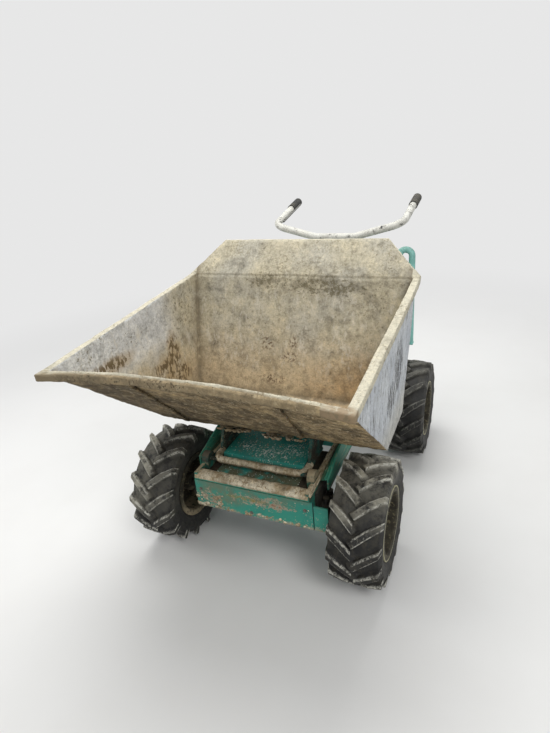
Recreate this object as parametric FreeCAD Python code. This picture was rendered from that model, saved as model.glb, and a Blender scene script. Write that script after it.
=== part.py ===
"""Four-wheel stand-on site dumper with a forward-tipping tub, in millimetres.

Lengths along Y are measured from the front axle, with the dumping end towards -Y and the
operator's platform towards +Y. X is across the machine and Z is up from the ground.
The finished pieces are moved along Y so that the origin lies below the middle of the machine.
"""
import FreeCAD
import Part
import math
import os

V = FreeCAD.Vector

# Wheels and axles
WHEELBASE = 940.0
TRACK_HALF = 438.0
TYRE_R = 254.0
TYRE_W = 206.0
RIM_BEAD_R = 127.0
RIM_FLANGE_R = 146.0
RIM_W = 190.0
RIM_WALL = 6.0
HUB_R = 62.0
AXLE_Z = TYRE_R

# Tread, the same on both sides of a tyre with half a pitch between them
LUGS = 15
LUG_START = 15.7
LUG_TOP_W = 24.0
LUG_FOOT_W = 38.0
LUG_TOP = (
    # place as a share of half the width, turn in degrees, depth below the tips, slant of its cut
    (-0.087, 0.0, 0, 43),
    (0.447, 11.5, 1, 40),
    (0.93, 20.0, 6, 0),
    (0.985, 21.5, 30, 0),
)
LUG_FOOT = (
    # place as a share of half the width, turn in degrees, depth below the tips, slant of its cut
    (-0.087, 0.0, 21, 43),
    (0.447, 11.5, 21, 40),
    (0.903, 19.5, 32, 0),
    (0.99, 21.5, 54, 0),
)

# Tub
TUB_WALL = 9.0
TUB_RIM_HALF = 541.0
TUB_RIM_OUT = 19.0
TUB_TAPER = 17.0
TUB_CREST_CUT = 134.0
TUB_TOP_HALF = TUB_RIM_HALF - TUB_RIM_OUT
TUB_BOTTOM_HALF = TUB_TOP_HALF - TUB_TAPER
TUB_TOP_EDGE_HALF = TUB_TOP_HALF - TUB_CREST_CUT
TUB_FRONT_Y = 50.0
TUB_REAR_Y = 360.0
TUB_FLOOR_Z = AXLE_Z + 296.0
LIP_Y = -490.0
LIP_Z = TUB_FLOOR_Z + 465.0
LIP_BOW = 32.0
LIP_ROUND = 8.0
SHOULDER_Y = TUB_REAR_Y + 150.0
SHOULDER_Z = TUB_FLOOR_Z + 540.0
CREST_Y = SHOULDER_Y + 100.0
CREST_Z = SHOULDER_Z + 138.0
RIM_T = 27.0
RIB_W = 26.0
RIB_H = 10.0
RIBS = (
    # place along X at the lip, place along X at the floor
    (283, 170),
    (-224, -350),
)

# Main frame
RAIL_OUT = 250.0
RAIL_T = 10.0
RAIL_FOOT = 45.0
RAIL_LIP = 14.0
RAIL_LOW_Z = AXLE_Z + 18.0
RAIL_TOP_Z = RAIL_LOW_Z + 158.0
NOSE_Y = -140.0
RAIL_END_Y = WHEELBASE - 300.0
CROSS = 50.0
LOW_CROSS_H = 32.0
REAR_RAIL_X = 155.0
REAR_RAIL_W = 50.0
REAR_RAIL_WALL = 6.0
REAR_RAIL_LOW = RAIL_TOP_Z - 80.0
REAR_RAIL_START = RAIL_END_Y - 70.0
FRAME_END_Y = WHEELBASE + 300.0
TAIL_DEEP = 40.0
END_HALF = 215.0
POST_HALF = 20.0

# Tub hinge, under the front of the tub
HINGE_Y = -45.0
HINGE_Z = RAIL_TOP_Z + 14.0
HINGE_PIN_R = 9.0
HINGE_HALF = RAIL_OUT - 12.0
BAIL_R = 13.0
BAIL_X = RAIL_OUT - 50.0
BAIL_BEND = 32.0
BAIL_END = 150.0
HINGE_ARM_T = 12.0
EAR_T = 20.0
EAR_R = 28.0

# Tipping cylinder
CYL_BASE_Y = WHEELBASE - 240.0
CYL_BASE_Z = REAR_RAIL_LOW - 20.0
CYL_EYE_Y = 180.0
CYL_EYE_Z = TUB_FLOOR_Z - 35.0
BARREL_R = 30.0
ROD_R = 13.0
CYL_LUG_T = 12.0
CYL_LUG_R = 20.0
EYE_R = 22.0
EYE_HALF = 14.0
PIN_R = 10.0
SIDE_GAP = 0.5

# Tie-down holes, through the front rails between the wheels and through lugs at the tail
SIDE_TIE_R = 16.0
SIDE_TIE_Y = WHEELBASE / 2
SIDE_TIE_Z = RAIL_LOW_Z + 86.0
TAIL_TIE_R = 13.0
TAIL_TIE_X = END_HALF + 26.0
TAIL_TIE_T = 12.0
TAIL_TIE_EDGE = 12.0
TAIL_TIE_Z = RAIL_TOP_Z - 30.0

# Front of the frame
FRONT_BAR_R = 26.0
FRONT_BAR_Y = NOSE_Y + 22.0
FRONT_BAR_Z = RAIL_TOP_Z - 29.0
COVER_T = 6.0
COVER_LOW = RAIL_LOW_Z - 2.0
COVER_TOP = FRONT_BAR_Z - 3.0
COVER_SEAM = 266.0
COVER_TAB_END = 325.0
DECK_HALF = BAIL_X - BAIL_R - 5.0
DECK_Z = RAIL_TOP_Z + 20.0
DECK_T = 6.0
DECK_END = 245.0
TROUGH_Z = RAIL_TOP_Z - 30.0
WING_X = RAIL_OUT + 40.0
WING_T = 6.0

# Rear axle and steering
KINGPIN_X = TRACK_HALF - 133.0
KINGPIN_R = 12.0
BEAM = 66.0
BEAM_HALF = KINGPIN_X - 43.0
CLEVIS_R = 30.0
CLEVIS_GAP = 76.0
CLEVIS_T = 16.0
KNUCKLE_R = 24.0
SPINDLE_R = 18.0
SPINDLE_END = TRACK_HALF + 24.0
ARM_LEN = 110.0
ARM_Z = AXLE_Z + 82.0
ARM_T = 10.0
ARM_W = 34.0
TIE_Z = ARM_Z - 16.0
TIE_R = 11.0
TIE_EYE_R = 16.0
TIE_EYE_H = 24.0
TIE_PIN_R = 7.0
COLUMN_Y = WHEELBASE + 100.0
COLUMN_R = 20.0
JACKET_R = 30.0
JACKET_LOW = ARM_Z + 20.0
JACKET_TOP = JACKET_LOW + 629.0

# Engine deck and what stands on it
ENGINE_DECK_Z = RAIL_TOP_Z + 92.0
ENGINE_DECK_T = 8.0
ENGINE_DECK_HALF = 320.0
ENGINE_DECK_START = RAIL_END_Y - 74.0
ENGINE_DECK_END = FRAME_END_Y - 50.0
FLOOR = ENGINE_DECK_Z + ENGINE_DECK_T
ENGINE_X = -50.0
ENGINE_Y = WHEELBASE - 160.0
CRANK_Z = FLOOR + 138.0
CASE_HALF = 105.0
ENGINE_FOOT = 14.0
BOX_START = COLUMN_Y - 40.0
BOX_END = ENGINE_DECK_END - 25.0
BOX_EDGE = ENGINE_DECK_HALF - 26.0

# Finned cylinder
CYLINDER_LOW = CRANK_Z + 70.0
CYLINDER_TOP = CRANK_Z + 192.0
HEAD_H = 26.0
FIN_X = 70.0
FIN_Y = 60.0
FIN_T = 4.0
FIN_PITCH = 11.0
FINS = 8

# What hangs on the cylinder's right side
SIDE_NEAR = ENGINE_X + 80.0
SIDE_FAR = ENGINE_X + 185.0
PORT_Z = CRANK_Z + 130.0
PORT_R = 18.0

# Operator's panel
PANEL_LOW = FLOOR + 370.0
PANEL_RISE = 65.0
PANEL_FRONT = 25.0
PANEL_START = BOX_END - 90.0
PANEL_HALF = 250.0

# Guard hoops beside the operator's panel
HOOP_R = 17.0
HOOP_SPAN = 66.0
HOOP_X = ENGINE_DECK_HALF + 11.0
HOOP_Y = ENGINE_DECK_END - 30.0
HOOP_TOP = FLOOR + 545.0
HOOP_FOOT_T = 8.0

# Handlebar
BAR_R = 19.0
BAR_BEND_R = 75.0
BAR_HALF = 355.0
BAR_FRONT_Y = COLUMN_Y + 60.0
BAR_LOW_Z = JACKET_TOP + 155.0
BAR_SIDE_Z = BAR_LOW_Z + 60.0
GRIP_END_Y = BAR_FRONT_Y + 410.0
GRIP_END_Z = BAR_SIDE_Z + 72.0
GRIP_R = 24.0
GRIP_L = 125.0
LEVER_R = 4.5
LEVER_IN = 31.0

# Platform
STEP_HINGE_Y = FRAME_END_Y + 22.0
STEP_HINGE_Z = AXLE_Z + 8.0
STEP_HINGE_R = 14.0
STEP_PIN_R = 8.0
STEP_BRACKET_T = 12.0
STEP_HALF = 250.0
STEP_START_Y = STEP_HINGE_Y + 30.0
STEP_END_Y = STEP_START_Y + 298.0
STEP_T = 6.0
STEP_RIM = 28.0
STEP_ARM_X = 170.0
STEP_SLOT = (34.0, 12.0)
STEP_ROWS = 4
STEP_COLUMNS = 7

# Gaps
RUNNING = 0.05
SEAT = 0.3

# The middle of the machine from lip to platform, below which the origin lies
MID_Y = (LIP_Y - RIM_T / 2 + STEP_END_Y) / 2

parts = {}


def box(x0, x1, y0, y1, z0, z1):
    return Part.makeBox(x1 - x0, y1 - y0, z1 - z0, V(x0, y0, z0))


def block(x, wide, y, deep, z0, z1):
    """A box centred on x and y."""
    return box(x - wide / 2, x + wide / 2, y - deep / 2, y + deep / 2, z0, z1)


def mirror_x(shape):
    return shape.mirror(V(0, 0, 0), V(1, 0, 0))


def both_sides(shape):
    return shape.fuse(mirror_x(shape))


def fuse_all(shapes):
    return shapes[0].multiFuse(shapes[1:]).removeSplitter()


def face_of(points):
    return Part.Face(Part.makePolygon(points + [points[0]]))


def plate_yz(outline, x0, x1):
    return face_of([V(x0, y, z) for y, z in outline]).extrude(V(x1 - x0, 0, 0))


def plate_xz(outline, y0, y1):
    return face_of([V(x, y0, z) for x, z in outline]).extrude(V(0, y1 - y0, 0))


def plate_xy(outline, z0, z1):
    return face_of([V(x, y, z0) for x, y in outline]).extrude(V(0, 0, z1 - z0))


def rod(start, end, radius):
    along = end - start
    return Part.makeCylinder(radius, along.Length, start, along)


def rod_x(x0, x1, y, z, radius):
    return rod(V(x0, y, z), V(x1, y, z), radius)


def rod_z(x, y, z0, z1, radius):
    return rod(V(x, y, z0), V(x, y, z1), radius)


def tube(start, end, outer, inner):
    along = end - start
    over = along.normalize() * 1.0
    return rod(start, end, outer).cut(rod(start - over, end + over, inner))


def turned(profile, centre, axis):
    """Revolve a closed profile of (along, radius) points about an axis through centre."""
    wire = Part.makePolygon([V(a, r, 0) for a, r in profile + [profile[0]]])
    solid = Part.Face(wire).revolve(V(0, 0, 0), V(1, 0, 0), 360)
    turn = FreeCAD.Rotation(V(1, 0, 0), axis)
    solid.Placement = FreeCAD.Placement(centre, turn)
    return solid


def bent_path(points, bend):
    """Straight runs through the points, joined by tangent arcs of one radius."""
    edges = []
    start = points[0]
    for before, corner, after in zip(points, points[1:], points[2:]):
        into = (corner - before).normalize()
        out = (after - corner).normalize()
        turn = into.getAngle(out)
        back = bend * math.tan(turn / 2)
        first = corner - into * back
        last = corner + out * back
        inward = (out - into).normalize()
        middle = corner + inward * (bend / math.cos(turn / 2) - bend)
        edges.append(Part.LineSegment(start, first).toShape())
        edges.append(Part.Arc(first, middle, last).toShape())
        start = last
    edges.append(Part.LineSegment(start, points[-1]).toShape())
    return Part.Wire(edges)


def strip(one, other):
    """Triangles between two lines that have the same number of points."""
    faces = []
    for a, b, c, d in zip(one, one[1:], other, other[1:]):
        faces += [face_of([a, b, c]), face_of([b, d, c])]
    return faces


def rounded_box(x0, x1, y0, y1, z0, z1, radius, upright_only=False):
    """A box with its four upright edges rounded, and its top edges too unless told otherwise."""
    block = box(x0, x1, y0, y1, z0, z1)
    chosen = []
    for edge in block.Edges:
        a, b = [vertex.Z for vertex in edge.Vertexes]
        if a != b or (min(a, b) > z0 and not upright_only):
            chosen.append(edge)
    return block.makeFillet(radius, chosen)


def bent_rod(points, bend, radius):
    path = bent_path(points, bend)
    along = points[1] - points[0]
    section = Part.Wire(Part.Circle(points[0], along, radius).toShape())
    return path.makePipeShell([section], True, False)


def tub_frames():
    """The envelopes whose side planes are the outer and inner faces of the tub's sides."""
    low = TUB_FLOOR_Z - 60
    high = SHOULDER_Z + 60
    slope = (TUB_TOP_HALF - TUB_BOTTOM_HALF) / (SHOULDER_Z - TUB_FLOOR_Z)

    def envelope(inset):
        a = TUB_BOTTOM_HALF - inset + slope * (low - TUB_FLOOR_Z)
        b = TUB_BOTTOM_HALF - inset + slope * (high - TUB_FLOOR_Z)
        return plate_xz([(-a, low), (a, low), (b, high), (-b, high)], LIP_Y - 90, CREST_Y + 90)

    return envelope(0), envelope(TUB_WALL)


def tub_front():
    """The sloping front wall, flat at the floor and bowed up at the lip."""
    rise = LIP_Z - TUB_FLOOR_Z
    run = TUB_FRONT_Y - LIP_Y
    inward = V(0, rise, run) * (TUB_WALL / math.hypot(rise, run))
    bow = V(0, 0, LIP_BOW)

    def sheet(offset):
        low = Part.LineSegment(V(-TUB_TOP_HALF, TUB_FRONT_Y, TUB_FLOOR_Z) + offset,
                               V(TUB_TOP_HALF, TUB_FRONT_Y, TUB_FLOOR_Z) + offset).toShape()
        high = Part.Arc(V(-TUB_TOP_HALF, LIP_Y, LIP_Z) + offset, V(0, LIP_Y, LIP_Z) + bow + offset,
                        V(TUB_TOP_HALF, LIP_Y, LIP_Z) + offset).toShape()
        return Part.makeRuledSurface(low, high)

    outer = sheet(V(0, 0, 0))
    inner = sheet(inward)
    rims = [Part.makeRuledSurface(a, b) for a, b in zip(outer.Edges, inner.Edges)]
    wall = Part.Solid(Part.makeShell([outer, inner] + rims))
    if wall.Volume < 0:
        wall.reverse()
    return wall


def tub_rim():
    """The turned-out flange along the sides and the bead along the lip."""
    sides = plate_yz([(LIP_Y, LIP_Z), (SHOULDER_Y, SHOULDER_Z), (SHOULDER_Y, SHOULDER_Z - RIM_T),
                      (LIP_Y, LIP_Z - RIM_T)], TUB_TOP_HALF - TUB_WALL, TUB_RIM_HALF)
    y = LIP_Y - RIM_T / 2
    high = [V(x, y, LIP_Z + lift) for x, lift in ((-TUB_RIM_HALF, 0), (0, LIP_BOW), (TUB_RIM_HALF, 0))]
    low = [point - V(0, 0, RIM_T) for point in high]
    outline = [Part.Arc(*high).toShape(), Part.LineSegment(high[2], low[2]).toShape(),
               Part.Arc(*low).toShape(), Part.LineSegment(low[0], high[0]).toShape()]
    bead = Part.Face(Part.Wire(outline)).extrude(V(0, RIM_T, 0))
    long_edges = [edge for edge in bead.Edges if edge.Length > TUB_RIM_HALF]
    bead = bead.makeFillet(LIP_ROUND, long_edges)
    return [both_sides(sides), bead]


def tub_shell():
    outer, inner = tub_frames()
    side_outline = [(TUB_FRONT_Y, TUB_FLOOR_Z), (TUB_REAR_Y, TUB_FLOOR_Z), (SHOULDER_Y, SHOULDER_Z),
                    (LIP_Y, LIP_Z)]
    sides = plate_yz(side_outline, -TUB_RIM_HALF, TUB_RIM_HALF).common(outer).cut(inner)
    floor = plate_yz([(TUB_FRONT_Y, TUB_FLOOR_Z), (TUB_REAR_Y, TUB_FLOOR_Z),
                      (TUB_REAR_Y + 3, TUB_FLOOR_Z + TUB_WALL),
                      (TUB_FRONT_Y - 10, TUB_FLOOR_Z + TUB_WALL)], -TUB_RIM_HALF, TUB_RIM_HALF)
    back = plate_yz([(TUB_REAR_Y, TUB_FLOOR_Z), (SHOULDER_Y, SHOULDER_Z),
                     (SHOULDER_Y - TUB_WALL, SHOULDER_Z), (TUB_REAR_Y - TUB_WALL, TUB_FLOOR_Z)],
                    -TUB_RIM_HALF, TUB_RIM_HALF)
    trough = fuse_all([sides, floor.common(outer), back.common(outer), tub_front().common(outer)])
    thick = RIM_T / 2
    crest = plate_yz([(SHOULDER_Y, SHOULDER_Z - RIM_T), (CREST_Y, CREST_Z), (CREST_Y - thick, CREST_Z),
                      (SHOULDER_Y - thick, SHOULDER_Z)], -TUB_RIM_HALF, TUB_RIM_HALF)
    corner = plate_xz([(TUB_TOP_EDGE_HALF, CREST_Z + 1), (TUB_RIM_HALF + 1, SHOULDER_Z),
                       (TUB_RIM_HALF + 1, CREST_Z + 1)], SHOULDER_Y - 60, CREST_Y + 60)
    crest = crest.cut(corner).cut(mirror_x(corner))
    return fuse_all([trough, crest] + tub_rim())


parts["tub_shell"] = tub_shell()


def tub_rib(head_x, foot_x):
    """A slanting stiffener under the front wall, let into the wall and then cut back to its face."""
    rise = LIP_Z - TUB_FLOOR_Z
    run = TUB_FRONT_Y - LIP_Y
    normal = V(0, rise, run) / math.hypot(rise, run)
    wide = V(RIB_W / 2, 0, 0)

    def centre(x, share):
        lift = LIP_BOW * (1 - (x / TUB_TOP_HALF) ** 2) * share
        return V(x, TUB_FRONT_Y - run * share, TUB_FLOOR_Z + rise * share + lift)

    foot = centre(foot_x, 0.06) + normal * TUB_WALL * 0.6
    head = centre(head_x, 0.9) + normal * TUB_WALL * 0.6
    flat = face_of([foot - wide, foot + wide, head + wide, head - wide])
    return flat.extrude(normal * -(RIB_H + TUB_WALL * 0.6)).cut(tub_front())


def hinge_bail():
    """The tube across the front of the tub's carrier, bent back at both ends, with its hinge pins."""
    z = HINGE_Z
    loop = bent_rod([V(-BAIL_X, BAIL_END, z), V(-BAIL_X, HINGE_Y, z), V(BAIL_X, HINGE_Y, z),
                     V(BAIL_X, BAIL_END, z)], BAIL_BEND, BAIL_R)
    pin = rod_x(BAIL_X - BAIL_BEND, HINGE_HALF, HINGE_Y, z, HINGE_PIN_R)
    return fuse_all([loop, pin, mirror_x(pin)])


def hinge_arm():
    """The plate between one leg of the bail and the tub's floor, with a flange along the floor."""
    outline = [(HINGE_Y + BAIL_BEND + 20, HINGE_Z), (BAIL_END, HINGE_Z), (TUB_REAR_Y - 20, TUB_FLOOR_Z - 30),
               (TUB_REAR_Y, TUB_FLOOR_Z), (TUB_FRONT_Y, TUB_FLOOR_Z)]
    web = plate_yz(outline, BAIL_X - HINGE_ARM_T / 2, BAIL_X + HINGE_ARM_T / 2)
    flange = box(BAIL_X - 30, BAIL_X + 30, TUB_FRONT_Y + 20, TUB_REAR_Y - 20, TUB_FLOOR_Z - 8, TUB_FLOOR_Z)
    window = rod_x(BAIL_X - 20, BAIL_X + 20, 160, TUB_FLOOR_Z - 52, 26)
    return fuse_all([web, flange]).cut(window).cut(parts["tub_hinge_shaft"])


def cylinder_lug():
    inside = EYE_HALF + SIDE_GAP
    outside = inside + CYL_LUG_T
    lug = plate_yz([(CYL_EYE_Y - 60, TUB_FLOOR_Z), (CYL_EYE_Y - EYE_R, CYL_EYE_Z - EYE_R),
                    (CYL_EYE_Y + EYE_R, CYL_EYE_Z - EYE_R), (CYL_EYE_Y + 60, TUB_FLOOR_Z)], inside, outside)
    pin_head = rod_x(outside, outside + 8, CYL_EYE_Y, CYL_EYE_Z, PIN_R + 6)
    return lug.fuse(pin_head)


parts["tub_ribs"] = Part.makeCompound([tub_rib(head, foot) for head, foot in RIBS])
parts["tub_hinge_shaft"] = hinge_bail()
carriers = [hinge_arm(), cylinder_lug()]
parts["tub_hinge_arms"] = Part.makeCompound(carriers + [mirror_x(shape) for shape in carriers])


def cylinder_line():
    """The way from the cylinder's base pin to its rod eye, and its length."""
    base = V(0, CYL_BASE_Y, CYL_BASE_Z)
    eye = V(0, CYL_EYE_Y, CYL_EYE_Z)
    return base, eye, (eye - base).normalize(), (eye - base).Length


def cylinder_barrel():
    base, eye, along, length = cylinder_line()
    end = base + along * (length - EYE_R - 40)
    neck = rod(base, base + along * 40, ROD_R)
    body = rod(base + along * (CYL_LUG_R + 8), end, BARREL_R)
    gland = rod(end - along * 34, end, BARREL_R + 5)
    root = rod_x(-EYE_HALF, EYE_HALF, base.y, base.z, EYE_R)
    pin_hole = rod_x(-60, 60, base.y, base.z, PIN_R + RUNNING)
    bore = rod(base + along * (CYL_LUG_R + 30), end + along, ROD_R + SEAT)
    port = rod(end - along * 70, end - along * 70 + V(0, -14, -40), 9)
    return fuse_all([neck, body, gland, root, port]).cut(pin_hole).cut(bore)


def cylinder_rod():
    base, eye, along, length = cylinder_line()
    shaft = rod(base + along * (CYL_LUG_R + 50), eye - along * (EYE_R - 5), ROD_R)
    ring = rod_x(-EYE_HALF, EYE_HALF, eye.y, eye.z, EYE_R)
    hole = rod_x(-60, 60, eye.y, eye.z, PIN_R + RUNNING)
    return fuse_all([shaft, ring]).cut(hole)


parts["cylinder_barrel"] = cylinder_barrel()
parts["cylinder_rod"] = cylinder_rod()


def frame_rail():
    """One side of the front frame: an upright web with a foot inside and a narrow top lip."""
    web = box(RAIL_OUT - RAIL_T, RAIL_OUT, NOSE_Y, RAIL_END_Y, RAIL_LOW_Z, RAIL_TOP_Z)
    foot = box(RAIL_OUT - RAIL_FOOT, RAIL_OUT, NOSE_Y, RAIL_END_Y, RAIL_LOW_Z, RAIL_LOW_Z + RAIL_T)
    lip = box(RAIL_OUT - RAIL_LIP, RAIL_OUT, NOSE_Y, RAIL_END_Y, RAIL_TOP_Z - RAIL_T, RAIL_TOP_Z)
    ear = rod_x(RAIL_OUT - RAIL_T - EAR_T, RAIL_OUT, HINGE_Y, HINGE_Z, EAR_R)
    ear_foot = box(RAIL_OUT - RAIL_T - EAR_T, RAIL_OUT, HINGE_Y - EAR_R, HINGE_Y + EAR_R,
                   RAIL_TOP_Z - 40, HINGE_Z)
    rail = fuse_all([web, foot, lip, ear, ear_foot])
    hinge_bore = rod_x(RAIL_OUT - 60, HINGE_HALF + SEAT, HINGE_Y, HINGE_Z, HINGE_PIN_R + RUNNING)
    tie_down = rod_x(0, RAIL_OUT + 20, SIDE_TIE_Y, SIDE_TIE_Z, SIDE_TIE_R)
    return rail.cut(hinge_bore).cut(tie_down)


def rear_rail():
    inner = REAR_RAIL_X - REAR_RAIL_W / 2
    outer = REAR_RAIL_X + REAR_RAIL_W / 2
    shell = box(inner, outer, REAR_RAIL_START, FRAME_END_Y, REAR_RAIL_LOW, RAIL_TOP_Z)
    hollow = box(inner + REAR_RAIL_WALL, outer - REAR_RAIL_WALL, REAR_RAIL_START - 1, FRAME_END_Y - TAIL_DEEP,
                 REAR_RAIL_LOW + REAR_RAIL_WALL, RAIL_TOP_Z - REAR_RAIL_WALL)
    join = box(outer - 1, RAIL_OUT - RAIL_T, REAR_RAIL_START, RAIL_END_Y, REAR_RAIL_LOW, RAIL_TOP_Z)
    return fuse_all([shell.cut(hollow), join])


def tail_tie():
    """A lug on the end of the tail with an upright tie-down hole."""
    end = TAIL_TIE_X + TAIL_TIE_R + TAIL_TIE_EDGE
    lug = box(END_HALF - 1, end, FRAME_END_Y - TAIL_DEEP, FRAME_END_Y, TAIL_TIE_Z, TAIL_TIE_Z + TAIL_TIE_T)
    y = FRAME_END_Y - TAIL_DEEP / 2
    return lug.cut(rod_z(TAIL_TIE_X, y, TAIL_TIE_Z - 1, TAIL_TIE_Z + TAIL_TIE_T + 1, TAIL_TIE_R))


def frame():
    cross_half = RAIL_OUT - RAIL_T
    middle = box(-cross_half, cross_half, RAIL_END_Y - CROSS, RAIL_END_Y, RAIL_LOW_Z,
                 RAIL_LOW_Z + LOW_CROSS_H)
    riser = box(REAR_RAIL_X - REAR_RAIL_W / 2, REAR_RAIL_X + REAR_RAIL_W / 2, RAIL_END_Y - CROSS, RAIL_END_Y,
                RAIL_LOW_Z + LOW_CROSS_H, REAR_RAIL_LOW)
    nose = box(-cross_half, cross_half, NOSE_Y, NOSE_Y + RAIL_T, RAIL_LOW_Z, FRONT_BAR_Z)
    anchor_y = CYL_BASE_Y + EYE_R + 13
    anchor = box(-REAR_RAIL_X - REAR_RAIL_W / 2, REAR_RAIL_X + REAR_RAIL_W / 2, anchor_y, anchor_y + CROSS,
                 REAR_RAIL_LOW - CROSS, REAR_RAIL_LOW)
    lug_x = EYE_HALF + SIDE_GAP
    lug = plate_yz([(anchor_y + CROSS, REAR_RAIL_LOW), (anchor_y, REAR_RAIL_LOW + 4),
                    (CYL_BASE_Y, CYL_BASE_Z + CYL_LUG_R), (CYL_BASE_Y, CYL_BASE_Z - CYL_LUG_R),
                    (anchor_y, REAR_RAIL_LOW - CROSS), (anchor_y + CROSS, REAR_RAIL_LOW - CROSS)],
                   lug_x, lug_x + CYL_LUG_T)
    lug = lug.fuse(rod_x(lug_x, lug_x + CYL_LUG_T, CYL_BASE_Y, CYL_BASE_Z, CYL_LUG_R))
    pin = rod_x(-lug_x - 20, lug_x + 20, CYL_BASE_Y, CYL_BASE_Z, PIN_R)
    carrier = block(0, 2 * REAR_RAIL_X - 2, COLUMN_Y, 76, RAIL_TOP_Z - 40, RAIL_TOP_Z)
    jacket_bore = rod_z(0, COLUMN_Y, RAIL_TOP_Z - 60, RAIL_TOP_Z + 20, JACKET_R)
    tail = box(-END_HALF, END_HALF, FRAME_END_Y - TAIL_DEEP, FRAME_END_Y, REAR_RAIL_LOW, RAIL_TOP_Z)
    hang = plate_yz([(FRAME_END_Y - TAIL_DEEP, RAIL_TOP_Z), (FRAME_END_Y, RAIL_TOP_Z),
                     (FRAME_END_Y + 6, STEP_HINGE_Z + 38),
                     (STEP_HINGE_Y + 14, STEP_HINGE_Z + 12), (STEP_HINGE_Y + 12, STEP_HINGE_Z - 14),
                     (STEP_HINGE_Y - 10, STEP_HINGE_Z - 14), (FRAME_END_Y - TAIL_DEEP, REAR_RAIL_LOW - 10)],
                    END_HALF - STEP_BRACKET_T, END_HALF)
    hang = hang.cut(rod_x(0, 300, STEP_HINGE_Y, STEP_HINGE_Z, STEP_PIN_R + RUNNING))
    sides = [rear_rail(), riser, lug, hang, tail_tie()]
    solids = [middle, nose, anchor, pin, carrier.cut(jacket_bore), tail]
    for side in sides:
        solids += [side, mirror_x(side)]
    for y in (REAR_RAIL_START + 30, CYL_BASE_Y + 130, ENGINE_DECK_END - 30):
        post = block(REAR_RAIL_X, 2 * POST_HALF, y, 2 * POST_HALF, RAIL_TOP_Z, ENGINE_DECK_Z)
        solids += [post, mirror_x(post)]
    return fuse_all(solids).cut(parts["rail_right"]).cut(parts["rail_left"])


right_rail = frame_rail()
parts["rail_right"] = right_rail
parts["rail_left"] = mirror_x(right_rail)
parts["frame"] = frame()


def front_bar():
    bar = rod_x(-RAIL_OUT, RAIL_OUT, FRONT_BAR_Y, FRONT_BAR_Z, FRONT_BAR_R)
    lower_half = box(-RAIL_OUT, RAIL_OUT, FRONT_BAR_Y - FRONT_BAR_R, FRONT_BAR_Y + FRONT_BAR_R,
                     FRONT_BAR_Z - FRONT_BAR_R, FRONT_BAR_Z)
    return bar.cut(lower_half).cut(parts["frame"]).cut(parts["rail_right"]).cut(parts["rail_left"])


def front_cover():
    y = NOSE_Y
    main = box(-RAIL_OUT, COVER_SEAM, y - COVER_T, y, COVER_LOW, COVER_TOP)
    tab = box(COVER_SEAM + 2, COVER_TAB_END, y - COVER_T, y, COVER_LOW, COVER_TOP - 14)
    strap = box(RAIL_OUT, COVER_TAB_END - 10, y, y + 6, COVER_LOW + 12, COVER_TOP - 40)
    return Part.makeCompound([main, fuse_all([tab, strap])])


def deck_panel():
    low = TROUGH_Z
    nose = FRONT_BAR_Y + FRONT_BAR_R + SEAT
    outline = [(DECK_END, DECK_Z), (0, DECK_Z), (-16, low + DECK_T), (nose, low + DECK_T),
               (nose, low), (-12, low), (4, DECK_Z - DECK_T), (DECK_END, DECK_Z - DECK_T)]
    panel = plate_yz(outline, -DECK_HALF, DECK_HALF)
    ledge = box(DECK_HALF - 20, RAIL_OUT - RAIL_T, 20, DECK_END, DECK_Z - DECK_T - 8, DECK_Z - DECK_T)
    ledge = ledge.cut(box(DECK_HALF, RAIL_OUT, 0, DECK_END - 60, TROUGH_Z, DECK_Z + 50))
    return fuse_all([panel, ledge, mirror_x(ledge)])


def side_wings():
    low = RAIL_TOP_Z - 50
    outline = [(-30, low), (-30, RAIL_TOP_Z), (150, RAIL_TOP_Z + 50), (300, RAIL_TOP_Z + 50), (300, low)]
    wing = plate_yz(outline, WING_X - WING_T / 2, WING_X + WING_T / 2)
    stay = box(RAIL_OUT, WING_X, 210, 290, RAIL_TOP_Z - 38, RAIL_TOP_Z - 30)
    return Part.makeCompound([fuse_all([wing, stay]), mirror_x(fuse_all([wing, stay]))])


parts["front_bar"] = front_bar()
parts["front_cover"] = front_cover()
parts["deck_panel"] = deck_panel()
parts["side_wings"] = side_wings()


def wheel_motor():
    flange = box(RAIL_OUT, RAIL_OUT + 12, -75, 75, AXLE_Z - 75 + 60, AXLE_Z + 75 + 60)
    body = turned([(RAIL_OUT + 10, 0), (RAIL_OUT + 10, 68), (RAIL_OUT + 44, 68), (RAIL_OUT + 50, 58),
                   (RAIL_OUT + 78, 58), (RAIL_OUT + 84, 46), (RAIL_OUT + 84, 0)], V(0, 0, AXLE_Z), V(1, 0, 0))
    shaft = rod_x(RAIL_OUT + 80, SPINDLE_END, 0, AXLE_Z, SPINDLE_R)
    ports = [rod_z(RAIL_OUT + 28, y, AXLE_Z + 50, AXLE_Z + 82, 13) for y in (-26, 26)]
    return fuse_all([flange, body, shaft] + ports)


motor = wheel_motor()
parts["wheel_motor_right"] = motor
parts["wheel_motor_left"] = mirror_x(motor)


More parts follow.
